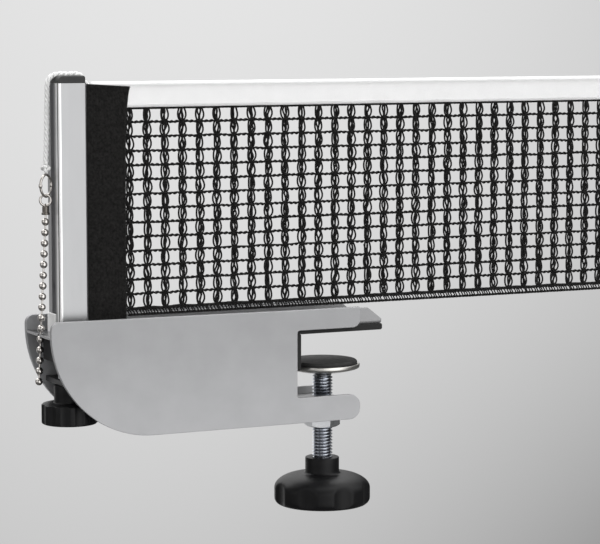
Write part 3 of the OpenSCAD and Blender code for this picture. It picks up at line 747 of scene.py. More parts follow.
def frames(path: np.ndarray, closed: bool = False) -> tuple[np.ndarray, np.ndarray]:
    """Carries a frame along a path with no twist.

    Args:
        path: points, one a row.
        closed: whether the path joins its own start.

    Returns:
        Two normals at each point, square to each other.
    """
    if closed:
        ahead = np.roll(path, -1, 0) - np.roll(path, 1, 0)
    else:
        ahead = np.gradient(path, axis=0)
    tangents = ahead / np.linalg.norm(ahead, axis=1)[:, None]
    side = np.cross(tangents[0], (0.0, 1.0, 0.0))
    if np.linalg.norm(side) < 1e-3:
        side = np.cross(tangents[0], (1.0, 0.0, 0.0))
    sides = [side / np.linalg.norm(side)]
    for t in tangents[1:]:
        s = sides[-1] - t * (sides[-1] @ t)
        sides.append(s / np.linalg.norm(s))
    first = np.array(sides)
    if closed:
        last = first[-1] - tangents[0] * (first[-1] @ tangents[0])
        drift = math.atan2(np.cross(last, first[0]) @ tangents[0], last @ first[0])
        turn = np.linspace(0.0, drift, len(path))[:, None]
        first = first * np.cos(turn) + np.cross(tangents, first) * np.sin(turn)
    return first, np.cross(tangents, first)


def tube(name: str, path: Points, radius: float | Sequence[float], sides: int = 10,
         closed: bool = False) -> bpy.types.Object:
    """Sweeps a round section along a path.

    Args:
        name: the object's name.
        path: points in metres.
        radius: one radius, or one for each point.
        sides: corners of the section.
        closed: whether the path joins its own start.

    Returns:
        A closed mesh whose UV map goes once round, and along the path in metres.
    """
    line = np.array(path, float)
    side, up = frames(line, closed)
    count = len(line)
    reach = np.broadcast_to(np.asarray(radius, float), (count,))
    angles = np.arange(sides) * math.tau / sides
    spokes = (np.cos(angles)[None, :, None] * side[:, None]
              + np.sin(angles)[None, :, None] * up[:, None])
    verts = (line[:, None] + reach[:, None, None] * spokes).reshape(-1, 3)
    run = distances([*line, line[0]])
    faces, uvs = [], []
    for i in range(count if closed else count - 1):
        a, b = i * sides, (i + 1) % count * sides
        for k in range(sides):
            n = (k + 1) % sides
            faces.append((a + k, b + k, b + n, a + n))
            u0, u1 = k / sides, (k + 1) / sides
            uvs.append([(u0, run[i]), (u0, run[i + 1]), (u1, run[i + 1]), (u1, run[i])])
    if not closed:
        last = (count - 1) * sides
        faces.append(tuple(range(sides)))
        faces.append(tuple(last + k for k in reversed(range(sides))))
        uvs.append([(0.0, 0.0)] * sides)
        uvs.append([(0.0, run[count - 1])] * sides)
    made = make_object(name, verts, faces, uvs)
    return smooth(outward(made, 1e-9), 60)


def ribbon(name: str, section: Points, spine: Sequence[float], place: Callable,
           thickness: float) -> bpy.types.Object:
    """Makes a sheet of cloth from a section repeated along a line.

    Args:
        name: the object's name.
        section: points across the cloth.
        spine: distances along the cloth.
        place: gives a point in metres from a section point and a distance.
        thickness: the cloth's own thickness.

    Returns:
        The cloth, solid, with a UV map in metres.
    """
    across = np.array(section, float)
    widths = distances(across)
    count = len(across)
    verts = [place(p, v) for v in spine for p in across]
    faces, uvs = [], []
    for i in range(len(spine) - 1):
        for k in range(count - 1):
            a = i * count + k
            faces.append((a, a + 1, a + 1 + count, a + count))
            u0, u1, v0, v1 = widths[k], widths[k + 1], spine[i], spine[i + 1]
            uvs.append([(u0, v0), (u1, v0), (u1, v1), (u0, v1)])
    made = smooth(make_object(name, verts, faces, uvs), 60)
    cloth = made.modifiers.new("cloth", "SOLIDIFY")
    cloth.thickness = thickness
    cloth.offset = 0.0
    cloth.use_even_offset = True
    return applied(made)


def applied(obj: bpy.types.Object) -> bpy.types.Object:
    """Turns an object's modifiers into plain mesh."""
    depsgraph = bpy.context.evaluated_depsgraph_get()
    depsgraph.update()
    mesh = bpy.data.meshes.new_from_object(obj.evaluated_get(depsgraph),
                                           preserve_all_data_layers=True, depsgraph=depsgraph)
    old = obj.data
    obj.modifiers.clear()
    obj.data = mesh
    bpy.data.meshes.remove(old)
    mesh.name = obj.name
    return obj


def dressed(node: str, bevel: float, steps: int) -> bpy.types.Object:
    """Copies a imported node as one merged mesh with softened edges.

    Args:
        node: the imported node.
        bevel: width of the softened edge.
        steps: faces across the softened edge.

    Returns:
        The copy, shaded smooth.
    """
    mesh = bpy.data.objects[node].data.copy()
    mesh.materials.clear()
    made = bpy.data.objects.new(f"{node}_finished", mesh)
    bpy.context.scene.collection.objects.link(made)
    with editing(mesh) as bm:
        bmesh.ops.remove_doubles(bm, verts=bm.verts, dist=2 * DOUBLE)
        bmesh.ops.dissolve_limit(bm, angle_limit=math.radians(FLAT), verts=bm.verts,
                                 edges=bm.edges, delimit=set())
        edges = [e for e in bm.edges
                 if len(e.link_faces) == 2 and e.calc_face_angle(0.0) > math.radians(SHARP)]
        bmesh.ops.bevel(bm, geom=edges, offset=bevel, offset_type="OFFSET", segments=steps,
                        profile=0.5, affect="EDGES", clamp_overlap=True, loop_slide=True)
        bmesh.ops.remove_doubles(bm, verts=bm.verts, dist=DOUBLE)
    smooth(made, 40)
    even = made.modifiers.new("even", "WEIGHTED_NORMAL")
    even.keep_sharp = True
    even.weight = 100
    return applied(made)


# ------------------------------------------------------------------------ geometry trees


SOCKETS = {int: "NodeSocketInt", float: "NodeSocketFloat", tuple: "NodeSocketVector"}


def spaced(inputs: dict[str, int | float | tuple]) -> dict[str, int | float | tuple]:
    """The same inputs with a space for each underscore in their names."""
    return {key.replace("_", " "): value for key, value in inputs.items()}


class Pattern:
    """A geometry tree with named inputs that makes a repeated form."""

    def __init__(self, name: str, **inputs: int | float | tuple) -> None:
        """Opens the tree.

        Args:
            name: the tree's name.
            **inputs: input names and values; an underscore stands for a space.
        """
        self.tree = bpy.data.node_groups.new(name, "GeometryNodeTree")
        self.inputs = spaced(inputs)
        for key, value in self.inputs.items():
            made = self.tree.interface.new_socket(name=key, in_out="INPUT",
                                                  socket_type=SOCKETS[type(value)])
            made.default_value = value
        self.tree.interface.new_socket(name="Geometry", in_out="OUTPUT",
                                       socket_type="NodeSocketGeometry")
        self.graph = Graph(self.tree)
        self.ins = self.graph.values(self.graph.node("NodeGroupInput"))

    def stored(self, geometry: Value, name: str, value: Value, kind: str = "INT",
               domain: str = "POINT") -> Value:
        """Keeps a number under a name on each point of the geometry."""
        return self.graph.out("GeometryNodeStoreNamedAttribute",
                              {"Geometry": geometry, "Name": name, "Value": value},
                              data_type=kind, domain=domain)

    def read(self, name: str) -> Value:
        """Reads a whole number that stored() kept."""
        return self.graph.out("GeometryNodeInputNamedAttribute", {"Name": name}, data_type="INT")

    def chance(self, low: float, high: float, number: Value, seed: int) -> Value:
        """A random number between two limits, the same each time for the same number."""
        return self.graph.out("FunctionNodeRandomValue",
                              {2: low, 3: high, "ID": number, "Seed": seed}, 1,
                              data_type="FLOAT")

    def stray(self, reach: float, number: Value, seed: int) -> Value:
        """A random number as in chance(), up to the reach on either side of nought."""
        return self.chance(-reach, reach, number, seed)

    def line(self, count: object, step: Value) -> Value:
        """Points from the tree's First on, each a step from the last."""
        return self.graph.out("GeometryNodeMeshLine",
                              {"Count": count, "Start Location": self.ins["First"],
                               "Offset": step}, mode="OFFSET")

    def threads(self, step: Value, end: Value, marks: object) -> Value:
        """Lays the tree's Count rows of Threads straight threads each.

        Args:
            step: from one row to the next.
            end: from a thread's start to its end.
            marks: points on a thread.

        Returns:
            The threads as curves that know their "row" and their "strand".
        """
        g = self.graph
        rows = self.stored(self.line(self.ins["Count"], step), "row",
                           g.out("GeometryNodeInputIndex"))
        copies = g.values(g.node("GeometryNodeDuplicateElements",
                                 {"Geometry": rows, "Amount": self.ins["Threads"]},
                                 domain="POINT"))
        points = self.stored(copies["Geometry"], "strand", copies["Duplicate Index"])
        fine = g.out("GeometryNodeResampleCurve",
                     {"Curve": g.out("GeometryNodeCurvePrimitiveLine", {"End": end}),
                      "Count": marks})
        placed = g.out("GeometryNodeInstanceOnPoints", {"Points": points, "Instance": fine})
        return g.out("GeometryNodeRealizeInstances", {"Geometry": placed})

    def captured(self, geometry: Value, share: str) -> tuple[Value, Value]:
        """Keeps each point's Length or Factor along its curve: the geometry, the number."""
        g = self.graph
        kept = g.node("GeometryNodeCaptureAttribute", {"Geometry": geometry}, domain="POINT")
        kept.capture_items.new("FLOAT", share)
        g.wire(kept, {share: g.out("GeometryNodeSplineParameter", pick=share)})
        outputs = g.values(kept)
        return outputs["Geometry"], outputs[share]

    def skinned(self, curve: Value, sides: int) -> Value:
        """Gives curves a round section of the tree's Thread Radius, with a UV map in metres."""
        g = self.graph
        path, along = self.captured(curve, "Length")
        circle = g.out("GeometryNodeCurvePrimitiveCircle",
                       {"Resolution": sides, "Radius": self.ins["Thread Radius"]}, mode="RADIUS")
        section, turn = self.captured(circle, "Factor")
        mesh = g.out("GeometryNodeCurveToMesh",
                     {"Curve": path, "Profile Curve": section, "Fill Caps": True})
        return self.stored(mesh, "cloth", g.vector(turn, along), "FLOAT2", "CORNER")

    def moved(self, geometry: Value, offset: Value) -> Value:
        """Moves each point by its offset."""
        return self.graph.out("GeometryNodeSetPosition", {"Geometry": geometry, "Offset": offset})

    def set_out(self, points: Value, shape: bpy.types.Object, more: dict[str, Value]) -> Value:
        """Puts a shape on each point; `more` feeds the node's other sockets, as in wire()."""
        piece = self.graph.out("GeometryNodeObjectInfo", {"Object": shape}, "Geometry")
        return self.graph.out("GeometryNodeInstanceOnPoints",
                              {"Points": points, "Instance": piece, **more})

    def close(self, geometry: Value, material: bpy.types.Material) -> None:
        """Ends the tree: instances made real, shaded smooth, with the material set."""
        g = self.graph
        real = g.out("GeometryNodeRealizeInstances", {"Geometry": geometry})
        soft = g.out("GeometryNodeSetShadeSmooth", {"Geometry": real})
        worn = g.out("GeometryNodeSetMaterial", {"Geometry": soft, "Material": material})
        g.node("NodeGroupOutput", {0: worn})

    def bake(self, name: str, **changed: int | float | tuple) -> bpy.types.Object:
        """Runs the tree and returns its result as a plain mesh object.

        Args:
            name: the object's name.
            **changed: inputs that differ from the tree's own values.

        Returns:
            The object, with no modifier left on it.
        """
        host = bpy.data.objects.new(name, bpy.data.meshes.new(name))
        bpy.context.scene.collection.objects.link(host)
        modifier = host.modifiers.new(self.tree.name, "NODES")
        modifier.node_group = self.tree
        values = {**self.inputs, **spaced(changed)}
        for item in self.tree.interface.items_tree:
            if item.item_type == "SOCKET" and item.in_out == "INPUT":
                modifier[item.identifier] = values[item.name]
        return applied(host)


# ------------------------------------------------------------------------------ assembly


class Bench:
    """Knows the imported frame, makes each finish once, and sets pieces on their bodies."""

    def __init__(self, frame: dict) -> None:
        """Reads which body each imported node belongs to.
        """
        bodies = frame["record"]["behaviour"]["bodies"]
        self.body_of = {node: body for body, nodes in bodies.items() for node in nodes}
        self.effects = Effects()
        self.materials: dict[str, bpy.types.Material] = {}
        self.count = 0

    def material(self, finish: Finishes) -> bpy.types.Material:
        """The finish's material, made on first use."""
        if finish.name not in self.materials:
            self.materials[finish.name] = finish.value.build(self.effects)
        return self.materials[finish.name]

    def seat(self, obj: bpy.types.Object, finish: Finishes, *nodes: str,
             body: str | None = None) -> bpy.types.Object:
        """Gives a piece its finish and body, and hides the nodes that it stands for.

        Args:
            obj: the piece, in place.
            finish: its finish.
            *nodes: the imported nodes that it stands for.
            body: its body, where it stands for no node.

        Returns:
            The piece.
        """
        obj.data.materials.clear()
        obj.data.materials.append(self.material(finish))
        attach(obj, body or self.body_of[nodes[0]])
        if nodes:
            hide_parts(*nodes)
        self.count += 1
        log.info("%s: %d faces, rides on %s", obj.name, len(obj.data.polygons),
                 obj["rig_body"])
        return obj

    def dress(self, node: str, finish: Finishes, bevel: float, steps: int = 2) -> None:
        """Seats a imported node's own shape with its edges softened, as in dressed()."""
        self.seat(dressed(node, bevel, steps), finish, node)


def sizes(node: str) -> tuple[Vector, Vector, Vector]:
    """Lowest corner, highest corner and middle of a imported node."""
    low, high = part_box(node)
    return low, high, (low + high) / 2


@dataclass
class ClampFrame:
    """Side plates, folded channel, pads, nut and the small plates between them."""

    bench: Bench
    bevel: float = 0.3 * MM
    pad_bevel: float = 0.5 * MM

    def build(self) -> None:
        """Dresses every piece of the frame."""
        for node in ("front_plate", "rear_plate"):
            self.bench.dress(node, Finishes.SILVER, self.bevel, 3)
        for node in ("jaw_channel", "throat_plate", "nut_plate"):
            self.bench.dress(node, Finishes.CHANNEL, self.bevel)
        for node in ("top_pad", "edge_pad"):
            self.bench.dress(node, Finishes.RUBBER, self.pad_bevel, 3)
        self.bench.dress("clamp_nut", Finishes.ZINC, self.bevel, 3)
        self.bench.dress("spindle_bridge", Finishes.BLACK_STEEL, self.bevel)


THREAD_FORM = ((0.0, 0.0), (0.1, 0.0), (0.3, 0.5), (0.5, 1.0), (0.6, 1.0), (0.8, 0.5))


def threaded_rod(name: str, radius: float, pitch: float, depth: float, low: float, high: float,
                 chamfer: float, centre: Sequence[float], segments: int) -> bpy.types.Object:
    """Cuts a true helical thread on an upright bar.

    Args:
        name: the object's name.
        radius: outside radius.
        pitch: height of one turn.
        depth: depth of the thread.
        low: height of the lower end.
        high: height of the upper end.
        chamfer: how far the ends are turned down.
        centre: X and Y of the axis.
        segments: corners in one turn.

    Returns:
        A closed mesh.
    """
    steps = len(THREAD_FORM)
    rows = (int((high - low) / pitch) + 3) * steps
    verts, faces = [], []
    for i in range(rows):
        part, sunk = THREAD_FORM[i % steps]
        for k in range(segments):
            z = low - pitch + pitch * (i // steps + part + k / segments)
            end = min(z - low, high - z)
            r = min(radius - depth * sunk, radius - chamfer + max(end, 0.0))
            verts.append(polar(centre, r, math.tau * k / segments, min(max(z, low), high)))
    for i in range(rows - 1):
        for k in range(segments):
            a, b = i * segments + k, (i + 1) * segments + k
            if k < segments - 1:
                faces.append((a, a + 1, b + 1, b))
            elif i + 1 + steps < rows:
                faces.append((a, (i + steps) * segments, (i + 1 + steps) * segments, b))
    made = make_object(name, verts, faces)
    with editing(made.data) as bm:
        bmesh.ops.remove_doubles(bm, verts=bm.verts, dist=DOUBLE)
        bmesh.ops.dissolve_degenerate(bm, edges=bm.edges, dist=DOUBLE)
        loose = [v for v in bm.verts if not v.link_faces]
        bmesh.ops.delete(bm, geom=loose, context="VERTS")
        open_edges = [e for e in bm.edges if e.is_boundary]
        bmesh.ops.holes_fill(bm, edges=open_edges, sides=0)
        bmesh.ops.recalc_face_normals(bm, faces=bm.faces)
    return smooth(made, 50)


@dataclass
class HandKnob:
    """A hand knob: hub, domed shoulder and a rim with finger hollows."""

    node: str
    hub_radius: float
    hub_height: float
    dome: float
    foot: float
    lobes: int
    scoop_radius: float
    scoop: float
    fillet: float
    blend: float = 0.9 * MM
    lip: float = 0.6 * MM

    def rim(self, radius: float, side: float) -> Callable[[float], float]:
        """Radius of one ring of the knob, drawn in softly where a finger hollow cuts it.

        Args:
            radius: the ring's radius without hollows.
            side: the rim's full radius.

        Returns:
            A function of the angle.
        """
        reach = side + self.scoop_radius - self.scoop

        def at(angle: float) -> float:
            """Radius at an angle."""
            pitch = math.tau / self.lobes
            off = (angle + pitch / 2) % pitch - pitch / 2
            inside = self.scoop_radius ** 2 - (reach * math.sin(off)) ** 2
            if inside <= 0:
                return radius
            cut = reach * math.cos(off) - math.sqrt(inside)
            share = min(max(0.5 + 0.5 * (radius - cut) / self.blend, 0.0), 1.0)
            mixed = radius * (1 - share) + cut * share
            return min(radius, mixed - self.blend * share * (1 - share) * 0.5)

        return at

    def build(self) -> bpy.types.Object:
        """Makes the knob's closed mesh."""
        low, high, mid = sizes(self.node)
        side = (high.y - low.y) / 2 + 0.05 * MM
        shoulder = high.z - self.hub_height
        hub, lip, turn, foot = self.hub_radius, self.lip, self.fillet, self.foot
        top = shoulder - self.dome
        outline = [(side * share, low.z + rise) for share, rise in
                   ((0.0, 0.0), (0.32, 0.0), (0.34, 0.5 * MM), (0.37, 0.5 * MM), (0.39, 0.0))]
        outline += [(side - foot * (1 - math.sin(a)), low.z + foot * (1 - math.cos(a)))
                    for a in np.linspace(0, math.pi / 2, 7)]
        outline += [(side, low.z + foot + (top - low.z - foot) * t) for t in (0.25, 0.5, 0.75)]
        outline += [(hub + turn + (side - hub - turn) * math.cos(a),
                     shoulder - self.dome * (1 - math.sin(a)))
                    for a in np.linspace(0, math.pi / 2, 14)]
        outline += [(hub + turn * (1 - math.sin(a)), shoulder + turn * (1 - math.cos(a)))
                    for a in np.linspace(0, math.pi / 2, 5)[1:]]
        outline += [(hub, shoulder + (high.z - shoulder) * 0.5), (hub, high.z - lip),
                    (hub - 0.18 * MM, high.z - 0.18 * MM), (hub - lip, high.z),
                    (hub * 0.4, high.z), (0.0, high.z)]
        profile = [(self.rim(r, side) if r > hub + 2 * MM else r, z) for r, z in outline]
        return smooth(rings(f"{self.node}_moulded", profile, self.lobes * 24, mid), 38)


@dataclass
class ClampScrew:
    """Pressure disc with its pad, and the threaded bar with its knob."""

    bench: Bench
    pitch: float = 1.954 * MM
    depth: float = 1.3 * MM
    chamfer: float = 1.2 * MM
    neck_radius: float = 4.0 * MM
    head_height: float = 1.2 * MM
    sheet: float = 1.5 * MM
    rim: float = 2.6 * MM
    crown: float = 0.9 * MM

    def disc(self) -> None:
        """Turns the dished disc and the rubber pad in it."""
        low, high, _ = sizes("pressure_disc")
        edge = high.x
        sag = high.z - low.z - self.rim
        bend = (edge * edge + sag * sag) / (2 * sag)
        hole = self.neck_radius + 0.1 * MM

        def dish(r: float, inset: float) -> tuple[float, float]:
            """Point of the dish at a radius, moved in by the sheet's thickness."""
            around = bend - inset
            return r, low.z + bend - math.sqrt(around * around - r * r)

        turn = dish(edge, 0.0)[1]
        outline = [dish(r, 0.0) for r in np.linspace(hole, edge - 1.2 * MM, 22)]
        outline += [(edge - inset * MM, turn + rise * MM)
                    for inset, rise in ((0.55, -0.05), (0.15, 0.35), (0.0, 0.9))]
        outline += [(edge - inset * MM, high.z - drop * MM)
                    for inset, drop in ((0.0, 0.5), (0.2, 0.12), (0.5, 0.0), (0.9, 0.0))]
        outline += [(edge - self.sheet, high.z - 0.35 * MM)]
        outline += [dish(r, self.sheet) for r in np.linspace(edge - self.sheet, hole, 22)]
        made = smooth(rings("pressure_disc_turned", outline, 128, closed=True), 40)
        self.bench.seat(made, Finishes.NICKEL, "pressure_disc")
        pad_low, pad_high, _ = sizes("disc_pad")
        pad, crown = pad_high.x, self.crown
        outline = [(0.0, pad_low.z + 0.2 * MM), (pad * 0.55, pad_low.z + 0.6 * MM),
                   (pad - 0.3 * MM, high.z - 0.5 * MM), (pad, high.z),
                   (pad, pad_high.z - crown), (pad - crown, pad_high.z),
                   (pad * 0.5, pad_high.z), (0.0, pad_high.z)]
        made = lathe("disc_pad_moulded", outline, 128, fillet=0.7 * MM)
        self.bench.seat(made, Finishes.RUBBER, "disc_pad")

    def bar(self) -> None:
        """Cuts the screw's thread and turns its neck and riveted head."""
        low, high, _ = sizes("clamp_screw")
        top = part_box("pressure_disc")[0].z - 0.4 * MM
        thread = threaded_rod("clamp_screw_threaded", high.y, self.pitch, self.depth, low.z, top,
                              self.chamfer, (0.0, 0.0), 56)
        neck, head = self.neck_radius, self.neck_radius + 2 * MM
        under = high.z - self.head_height
        outline = [(0.0, top - 2 * MM), (neck, top - 2 * MM), (neck, under), (head, under),
                   (head - 0.4 * MM, high.z - 0.4 * MM), (head - 1.4 * MM, high.z),
                   (0.0, high.z)]
        rivet = lathe("clamp_screw_neck", outline, 48)
        made = join("clamp_screw_threaded", [thread, rivet])
        self.bench.seat(made, Finishes.SCREW, "clamp_screw")

    def build(self) -> None:
        """Builds the disc, the bar and the knob."""
        self.disc()
        self.bar()
        knob = HandKnob("clamp_knob", hub_radius=10.45 * MM, hub_height=10.2 * MM, dome=9 * MM,
                        foot=4 * MM, lobes=8, scoop_radius=16 * MM, scoop=2 * MM,
                        fillet=1.6 * MM)
        self.bench.seat(knob.build(), Finishes.KNOB, "clamp_knob")


@dataclass
class Post:
    """The aluminium post with its cap, wedge, chain catch and carriage."""

    bench: Bench

    def build(self) -> None:
        """Dresses every piece of the post."""
        self.bench.dress("post", Finishes.ALUMINIUM, 0.3 * MM, 3)
        self.bench.dress("post_cap", Finishes.CAP, 0.35 * MM, 3)
        self.bench.dress("post_wedge", Finishes.NYLON, 0.5 * MM, 3)
        self.bench.dress("chain_catch", Finishes.CATCH, 0.2 * MM)
        self.bench.dress("lift_carriage", Finishes.BLACK_STEEL, 0.4 * MM)
        self.bench.dress("foot_screws", Finishes.ZINC, 0.25 * MM)
        self.bench.dress("band_rod", Finishes.ROD, 0.4 * MM)


@dataclass
class HeightAdjuster:
    """The spindle that lifts the post, its collar and its knob."""

    bench: Bench
    pitch: float = 1.25 * MM
    depth: float = 0.75 * MM
    chamfer: float = 0.8 * MM

    def build(self) -> None:
        """Cuts the spindle's thread and makes the collar and knob."""
        low, high, mid = sizes("height_spindle")
        spindle = threaded_rod("height_spindle_threaded", (high.y - low.y) / 2, self.pitch,
                               self.depth, low.z, high.z, self.chamfer, mid, 40)
        self.bench.seat(spindle, Finishes.SPINDLE, "height_spindle")
        self.bench.dress("spindle_collar", Finishes.ZINC, 0.3 * MM)
        knob = HandKnob("height_knob", hub_radius=9.1 * MM, hub_height=10.4 * MM, dome=1.2 * MM,
                        foot=1.2 * MM, lobes=12, scoop_radius=7 * MM, scoop=0.9 * MM,
                        fillet=0.6 * MM, blend=0.4 * MM)
        self.bench.seat(knob.build(), Finishes.KNOB, "height_knob")


@dataclass
class Net:
    """Knitted net, its white top tape, bottom braid, side band and end hem."""

    bench: Bench
    column_pitch: float = 11.25 * MM
    first_column: float = -126.5 * MM
    rows: int = 14
    loop_steps: int = 6
    loop_half: float = 1.95 * MM
    loop_depth: float = 0.42 * MM
    loop_width: tuple[float, float] = (0.62, 1.08)
    strand_width: tuple[float, float] = (0.86, 1.08)
    strand_turn: float = 0.45
    strand_lean: float = 0.2
    loop_lean: float = 0.3
    loop_sway: float = 0.25 * MM
    loop_rise: float = 0.35 * MM
    knot_half: float = 0.85 * MM
    knot_inner: float = 0.3 * MM
    thread_radius: float = 0.58 * MM
    row_radius: float = 0.52 * MM
    row_coil: float = 0.42 * MM
    row_sag: float = 1.3 * MM
    row_scallop: float = 0.45 * MM
    twist_pitch: float = 6.4 * MM
    point_gap: float = 0.6 * MM
    rope_inset: float = 0.8 * MM
    rope_coil: float = 0.34 * MM
    rope_pitch: float = 4.8 * MM
    rope_waist: float = 0.3 * MM
    stitch_gap: float = 1.85 * MM
    stitch_slant: float = 2.0 * MM
    stitch_radius: float = 0.54 * MM
    stitch_stray: float = 0.45 * MM
    wrap_radii: tuple[float, float] = (1.2 * MM, 0.85 * MM)
    wrap_thread: float = 0.42 * MM
    selvedge_drop: float = 0.75 * MM
    seam_share: float = 0.72
    cloth: float = 0.5 * MM
    tape_half: float = 0.85 * MM
    tape_seam: float = 2.6 * MM
    band_seam: float = 2.8 * MM
    band_throat: float = 0.33 * MM
    band_fall: float = 1.9 * MM
    seed: int = 7

    def grid(self) -> tuple[Vector, Vector, float, int]:
        """The net's lowest and highest corner, the height of a row, the number of columns."""
        low, high, _ = sizes("net_mesh")
        columns = int((high.x - self.first_column - 1 * MM) / self.column_pitch) + 1
        return low, high, (high.z - low.z) / self.rows, columns

    def columns(self) -> bpy.types.Object:
        """Knits the upright chains: five threads that open into a loop in each mesh."""
        low, _, pitch, count = self.grid()
        steps = self.loop_steps
        p = Pattern("knitted_columns", Count=count, Threads=5, Column_Pitch=self.column_pitch,
                    Rows=self.rows, Row_Pitch=pitch, Loop_Half=self.loop_half,
                    Thread_Radius=self.thread_radius, First=(self.first_column, 0.0, low.z))
        g, ins = p.graph, p.ins
        threads = p.threads(g.vector(ins["Column Pitch"]),
                            g.vector(z=ins["Rows"] * ins["Row Pitch"]),
                            ins["Rows"] * steps + 1.0)
        step = g.out("GeometryNodeSplineParameter", pick="Index")
        column, strand = p.read("row"), p.read("strand")
        # The loop that a point is in, counted upwards, and how far through it the point is.
        cell = ((step + 0.001) / steps).floor()
        phase = (step - cell * steps) / steps
        arch = (phase * math.pi).sine() ** 0.8
        # A number of its own for each loop and for each strand in it, to draw chances from.
        number = column * 64 + cell
        own = number * 8 + strand
        # Strands 0 and 1 are the two sides of a loop, and the others run through its middle.
        side = strand % 2 * 2 - 1.0
        inner = strand > 1.5
        wide = p.chance(*self.loop_width, number, 13) * p.chance(*self.strand_width, own, 3)
        turned = (phase * math.tau).sine() * p.stray(self.strand_turn, own, 29)
        lean = p.stray(self.loop_lean, number, 11) + p.stray(self.strand_lean, own, 5)
        near = (strand - 2.9) * 0.36 + turned + lean
        reach = arch * g.mix(inner, near, side * wide) * ins["Loop Half"]
        knot = side * (inner * (self.knot_inner - self.knot_half) + self.knot_half)
        sway = p.stray(self.loop_sway, number, 17) * arch
        swing = ((phase * 2.0 + strand * 0.5) * math.pi).cosine() * self.loop_depth
        rise = arch * p.stray(self.loop_rise, own, 23)
        offset = g.vector(reach + knot + sway, swing, rise)
        p.close(p.skinned(p.moved(threads, offset), 5), self.bench.material(Finishes.NET))
        return p.bake("net_columns")

    def cross_threads(self) -> bpy.types.Object:
        """Twists the two threads of each row, which give it its scalloped outline."""
        low, high, pitch, _ = self.grid()
        length = high.x - low.x
        p = Pattern("twisted_rows", Count=self.rows + 1, Threads=2, Row_Pitch=pitch,
                    Length=length, Points=int(length / self.point_gap),
                    Twist_Pitch=self.twist_pitch, Thread_Radius=self.row_radius,
                    First=(low.x, 0.0, low.z))
        g, ins = p.graph, p.ins
        threads = p.threads(g.vector(z=ins["Row Pitch"]), g.vector(ins["Length"]), ins["Points"])
        row, strand = p.read("row"), p.read("strand")
        x, _, z = g.axes(g.out("GeometryNodeInputPosition"))
        turns = x / ins["Twist Pitch"]
        angle = (turns + (strand * 0.5 + row * 0.37)) * math.tau
        drawn = g.noise(g.vector(x, row * 0.7, z), 90.0, 1.0)
        sag = (drawn - 0.5) * self.row_sag + abs((turns * math.tau).sine()) * -self.row_scallop
        offset = g.vector(0.0, angle.cosine() * self.row_coil,
                          angle.sine() * self.row_coil + sag)
        p.close(p.skinned(p.moved(threads, offset), 5), self.bench.material(Finishes.NET))
        return p.bake("net_rows")

    def braid(self) -> bpy.types.Object:
        """Lays the bottom braid: a rope along each edge, joined by slanted stitches."""
        low, high, _ = sizes("bottom_braid")
        length = high.x - low.x
        p = Pattern("edge_ropes", Count=2, Threads=2, Length=length,
                    Points=int(length / self.point_gap), Thread_Radius=self.row_radius,
                    Twist_Pitch=self.rope_pitch, First=(low.x, 0.0, low.z + self.rope_inset),
                    Rise=high.z - low.z - 2 * self.rope_inset)
        g, ins = p.graph, p.ins
        threads = p.threads(g.vector(z=ins["Rise"]), g.vector(ins["Length"]), ins["Points"])
        row, strand = p.read("row"), p.read("strand")
        x, _, _ = g.axes(g.out("GeometryNodeInputPosition"))
        angle = (x / ins["Twist Pitch"] + (strand * 0.5 + row * 0.3)) * math.tau
        waist = abs(angle.sine()) * -self.rope_waist
        rise = angle.sine() * self.rope_coil + (row * 2.0 - 1.0) * waist
        offset = g.vector(0.0, angle.cosine() * self.rope_coil, rise)
        p.close(p.skinned(p.moved(threads, offset), 6), self.bench.material(Finishes.NET))
        ropes = p.bake("bottom_braid_ropes")
        stitches = self.ladder(low, high)
        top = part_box("net_mesh")[1].z
        edge = p.bake("net_selvedge", Count=1, First=(low.x, 0.0, top - self.selvedge_drop))
        self.bench.seat(edge, Finishes.NET, body="post_unit")
        return join("bottom_braid_knitted", [ropes, stitches])

    def wraps(self) -> bpy.types.Object:
        """Ties a small two-turn wrap round the threads wherever a row crosses a column."""
        low, _, pitch, count = self.grid()
        marks = np.linspace(0.0, 2 * math.tau, 16, endpoint=False)
        wide, deep = self.wrap_radii
        rise = 0.5 * MM * np.cos(marks / 2) + 0.15 * MM * np.sin(marks)
        path = np.stack([wide * np.cos(marks), deep * np.sin(marks), rise], 1)
        wrap = tube("wrap_turned", path, self.wrap_thread, 3, closed=True)
        p = Pattern("knot_wraps", Columns=count, Column_Pitch=self.column_pitch,
                    Rows=self.rows - 1, Row_Pitch=pitch,
                    First=(self.first_column, 0.0, low.z + pitch))
        g, ins = p.graph, p.ins
        index = g.out("GeometryNodeInputIndex")
        row = ((index + 0.5) / ins["Columns"]).floor()
        column = index - row * ins["Columns"]
        across = column * ins["Column Pitch"] + p.stray(0.3 * MM, index, 41)
        upward = row * ins["Row Pitch"] + p.stray(0.35 * MM, index, 43)
        tilt = g.vector(p.stray(0.25, index, 47), p.stray(0.4, index, 53),
                        p.stray(0.4, index, 59))
        size = p.chance(0.85, 1.2, index, 61)
        points = p.moved(p.line(ins["Columns"] * ins["Rows"], g.vector()),
                         g.vector(across, 0.0, upward))
        p.close(p.set_out(points, wrap, {"Rotation": tilt, "Scale": g.vector(size, size, size)}),
                self.bench.material(Finishes.NET))
        made = p.bake("net_wraps")
        bpy.data.objects.remove(wrap)
        return made

